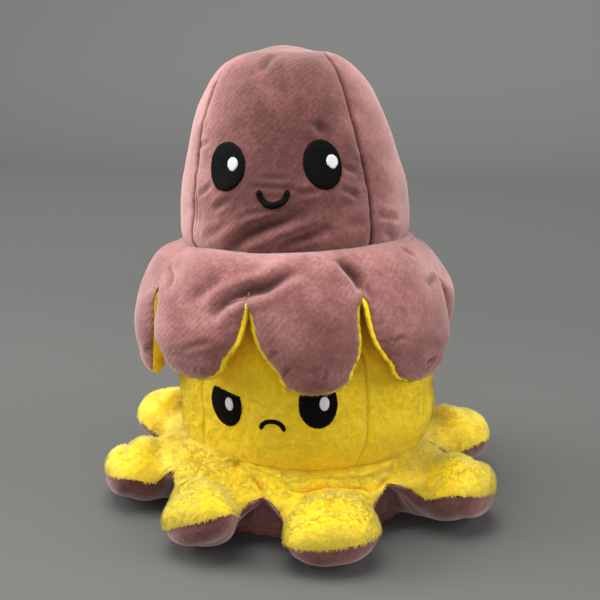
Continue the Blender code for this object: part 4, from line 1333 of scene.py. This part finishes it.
def stitched(prefix, node, slot, place, across, up, height, capped=True):
    """Satin stitch on a head: a grid of (across, up) offsets from a place, raised by a height at each point."""
    head = HEADS[prefix]
    bearing, level = place
    way = head.down_to(level) - up
    bearing = bearing + np.degrees(across / np.interp(way, head.way, head.radius))
    skin = head.skin(bearing, way)
    normal = unit(sum(head.normal(bearing + turn, way) for turn in (0, 2, -2)))
    outer = skin + normal * height[..., None]
    inner = (skin - normal * 0.5)[::INNER_STEP, ::INNER_STEP]
    places = np.stack((across, up), -1)
    made = closed_body(
        f"{node}_stitches", outer, inner, finish_of(slot), wrap=capped, capped=capped, places=places
    )
    settle(made, [node], f"{prefix}_toy")


# Where the middle of an eye under a brow lies, as a share of half its height
BROWED_MIDDLE = -0.30


def patch_grid(size, cut, jag, seed):
    """Offsets of a patch's points from its middle, ring by ring, and how near its edge each one is.

    A cut gives the height and slope of the brow that cuts the patch off.
    """
    rings, spokes = 6 * INNER_STEP + 1, 48 * INNER_STEP + 1
    turn = np.linspace(0, 2 * math.pi, spokes)
    wide, tall = size[0] / 2, size[1] / 2
    middle = 0.0
    square = (np.cos(turn) / wide) ** 2 + (np.sin(turn) / tall) ** 2
    if cut is None:
        reach = 1 / np.sqrt(square)
    else:
        rise, slope = cut
        middle = BROWED_MIDDLE * tall
        linear = 2 * middle * np.sin(turn) / tall**2
        rest = (middle / tall) ** 2 - 1
        reach = (-linear + np.sqrt(linear * linear - 4 * square * rest)) / (2 * square)
        climb = np.sin(turn) - slope * np.cos(turn)
        brow = np.where(climb > 0.02, (rise - middle) / np.maximum(climb, 0.02), 99)
        reach = soft_min(reach, brow, 0.8)
    spoke = (turn * 31).astype(int)
    reach = reach + jag * (lattice(np.stack([spoke, 0 * spoke, 0 * spoke], -1), seed) - 0.5)
    reach[-1] = reach[0]
    share = np.concatenate((np.linspace(0.02, 0.9, rings - 5), (0.94, 0.97, 0.985, 0.995, 1.0)))[:, None]
    return share * reach * np.cos(turn), middle + share * reach * np.sin(turn), share + 0 * reach


class PLUSH_OT_faces(bpy.types.Operator):
    """Stitches the eyes, their glints and the mouths"""

    bl_idname = "plush.faces"
    bl_label = "Faces"

    def execute(self, context):
        for prefix, face in FACES.items():
            for label, side, size in zip(("left", "right"), (1, -1), face["sizes"]):
                place = (side * face["eye"][0] + face["turn"], face["eye"][1] + side * face["tilt"])
                cut = (face["brow"][0], side * face["brow"][1]) if face["brow"] else None
                across, up, share = patch_grid(size, cut, 0.45, 80 + side)
                height = 0.9 * np.sqrt(np.clip(1 - share**6, 0, 1)) + 0.25
                stitched(prefix, f"{prefix}_{label}_eye", "black_thread", place, across, up, height)
                over, rise, wide, tall = face["glint"]
                across, up, share = patch_grid((wide, tall), None, 0.25, 90 + side)
                up = np.where(up < -0.25 * tall, up * (1 + 0.12 * face["tail"]), up)
                across = np.where(up < -0.3 * tall, across * (1 - 0.18 * face["tail"]), across)
                height = 0.5 * np.sqrt(np.clip(1 - share**4, 0, 1)) + 1.2
                node = f"{prefix}_{label}_glint"
                stitched(prefix, node, "white_thread", place, across + over, up + rise, height)
            self.mouth(prefix, face)
        return {"FINISHED"}

    def mouth(self, prefix, face):
        """A ribbon of satin stitch along the smile or the frown."""
        bearing, level, wide, deep = face["mouth"]
        way = 1 if prefix == "upper" else -1
        turn = np.linspace(-0.04, 1.04, 16 * INNER_STEP + 1)[:, None] * math.pi
        v = np.linspace(-1, 1, 4 * INNER_STEP + 1)[None] * math.pi / 2
        ends = np.clip(1 - np.abs(turn / math.pi * 2 - 1) ** 30, 0, 1) ** 0.5
        half = face["stroke"] / 2 * (0.6 + 0.4 * ends)
        x, y = -np.cos(turn) * (wide / 2 - 1.2), way * (0.5 - np.sin(turn)) * (deep - 2.4)
        run_x, run_y = np.gradient(x[:, 0])[:, None], np.gradient(y[:, 0])[:, None]
        size = np.hypot(run_x, run_y)
        jag = 1 + 0.10 * (lattice(np.stack([np.arange(len(turn))] * 3, -1), 7)[:, None] - 0.5)
        reach = half * np.sin(v) * jag
        across, up = x - run_y / size * reach, y + run_x / size * reach
        height = 0.85 * np.cos(v) ** 0.6 * (0.3 + 0.7 * ends) + 0.2
        node = f"{prefix}_mouth"
        stitched(prefix, node, "black_thread", (bearing, level), across, up, height, capped=False)


# Each light's soft box, in metres: where it stands and how large it is
LIGHTS = {
    "top": ((-0.15, -0.10, 1.25), 0.9),
    "left": ((-1.15, -0.20, 0.70), 0.8),
    "right": ((1.20, -0.10, 0.65), 0.8),
    "front": ((0.15, -1.30, 0.30), 1.1),
}
SENSOR_WIDTH = 36.0
SKY, SKY_STRENGTH = (0.8, 0.83, 0.86, 1.0), 0.42
# The backdrop, in metres: where it starts to curve up, the curve's radius, its top and half its width
BEND_START, BEND_RADIUS, BACKDROP_TOP, BACKDROP_HALF = 0.9, 0.5, 2.2, 3.0


class PLUSH_OT_stage(bpy.types.Operator):
    """Sets the camera, the soft lights and the floor"""

    bl_idname = "plush.stage"
    bl_label = "Stage"

    def execute(self, context):
        stage, scene = context.scene.plush_stage, context.scene
        turn, rise = math.radians(stage.azimuth), math.radians(stage.elevation)
        away = Vector((math.sin(turn) * math.cos(rise), -math.cos(turn) * math.cos(rise), math.sin(rise)))
        aim = Vector((0.0, 0.0, stage.aim))
        scene.camera = self.aimed("camera", bpy.data.cameras.new("camera"), aim + away * stage.distance, -away)
        scene.camera.data.lens = stage.lens
        scene.camera.data.sensor_width = SENSOR_WIDTH
        self.floor(stage)
        for name, (place, size) in LIGHTS.items():
            lamp = bpy.data.lights.new(name, "AREA")
            lamp.size = size
            lamp.energy = getattr(stage, f"{name}_power")
            self.aimed(name, lamp, place, aim - Vector(place))
        world = bpy.data.worlds.new("studio")
        world.use_nodes = True
        background = world.node_tree.nodes["Background"].inputs
        background["Color"].default_value, background["Strength"].default_value = SKY, SKY_STRENGTH
        scene.world = world
        scene.view_settings.view_transform = "Standard"
        return {"FINISHED"}

    def aimed(self, name, data, place, towards):
        """A camera or light that looks this way."""
        made = bpy.data.objects.new(name, data)
        made.location = place
        made.rotation_euler = towards.to_track_quat("-Z", "Y").to_euler()
        bpy.context.scene.collection.objects.link(made)
        return made

    def floor(self, stage):
        """A pale floor that curves up into its backdrop."""
        bend = [(math.sin(a), 1 - math.cos(a)) for a in np.linspace(0.1, 1.5708, 16)]
        line = [(-1.6, 0.0), (BEND_START, 0.0)]
        line += [(BEND_START + BEND_RADIUS * out, BEND_RADIUS * up) for out, up in bend]
        line += [(BEND_START + BEND_RADIUS, BACKDROP_TOP)]
        points = [(x, y, z) for y, z in line for x in (-BACKDROP_HALF, BACKDROP_HALF)]
        faces = [(2 * k, 2 * k + 1, 2 * k + 3, 2 * k + 2) for k in range(len(line) - 1)]
        mesh = bpy.data.meshes.new("floor")
        mesh.from_pydata(points, [], faces)
        mesh.polygons.foreach_set("use_smooth", np.ones(len(faces), bool))
        paper = Finish("Paper backdrop", Roughness=0.75, Specular_IOR_Level=0.2)
        place = paper.object_place()
        # Painted shade: darker at the front and round the toys, lighter further back and up the backdrop, with
        # faint random mottling
        depth = paper.node("ShaderNodeSeparateXYZ", {}, {"Vector": place})["Y"]
        tone = depth * 1.2 + paper.noise(place, 2.5) * 0.1 - 0.5
        paper.paint(paper.mix(tone, dimmed(stage.floor, 0.58), stage.floor))
        mesh.materials.append(paper.material)
        made = bpy.data.objects.new("floor", mesh)
        bpy.context.scene.collection.objects.link(made)


class PLUSH_PT_panel(bpy.types.Panel):
    """Lists the pieces"""

    bl_label = "Plush octopuses"
    bl_idname = "PLUSH_PT_panel"
    bl_space_type = "VIEW_3D"
    bl_region_type = "UI"
    bl_category = "Plush"

    def draw(self, context):
        for operator in OPERATORS:
            self.layout.operator(operator.bl_idname)
        for group in (context.scene.plush_colours, context.scene.plush_cloth, context.scene.plush_stage):
            for label in group.__annotations__:
                self.layout.prop(group, label)


GROUPS = {"plush_colours": PlushColours, "plush_cloth": PlushCloth, "plush_stage": PlushStage}
OPERATORS = (
    PLUSH_OT_heads, PLUSH_OT_legs, PLUSH_OT_skirts, PLUSH_OT_insides, PLUSH_OT_faces, PLUSH_OT_stage,
)


def register():
    """Adds the settings, the operators and the panel."""
    for label, group in GROUPS.items():
        bpy.utils.register_class(group)
        setattr(bpy.types.Scene, label, bpy.props.PointerProperty(type=group))
    for item in (*OPERATORS, PLUSH_PT_panel):
        bpy.utils.register_class(item)


def unregister():
    """Takes them away again."""
    for item in (PLUSH_PT_panel, *reversed(OPERATORS)):
        bpy.utils.unregister_class(item)
    for label, group in GROUPS.items():
        delattr(bpy.types.Scene, label)
        bpy.utils.unregister_class(group)


def main():
    """Builds every piece."""
    register()
    bpy.ops.plush.heads()
    bpy.ops.plush.legs()
    bpy.ops.plush.skirts()
    bpy.ops.plush.insides()
    bpy.ops.plush.faces()
    bpy.ops.plush.stage()


if __name__ == "__main__":
    main()
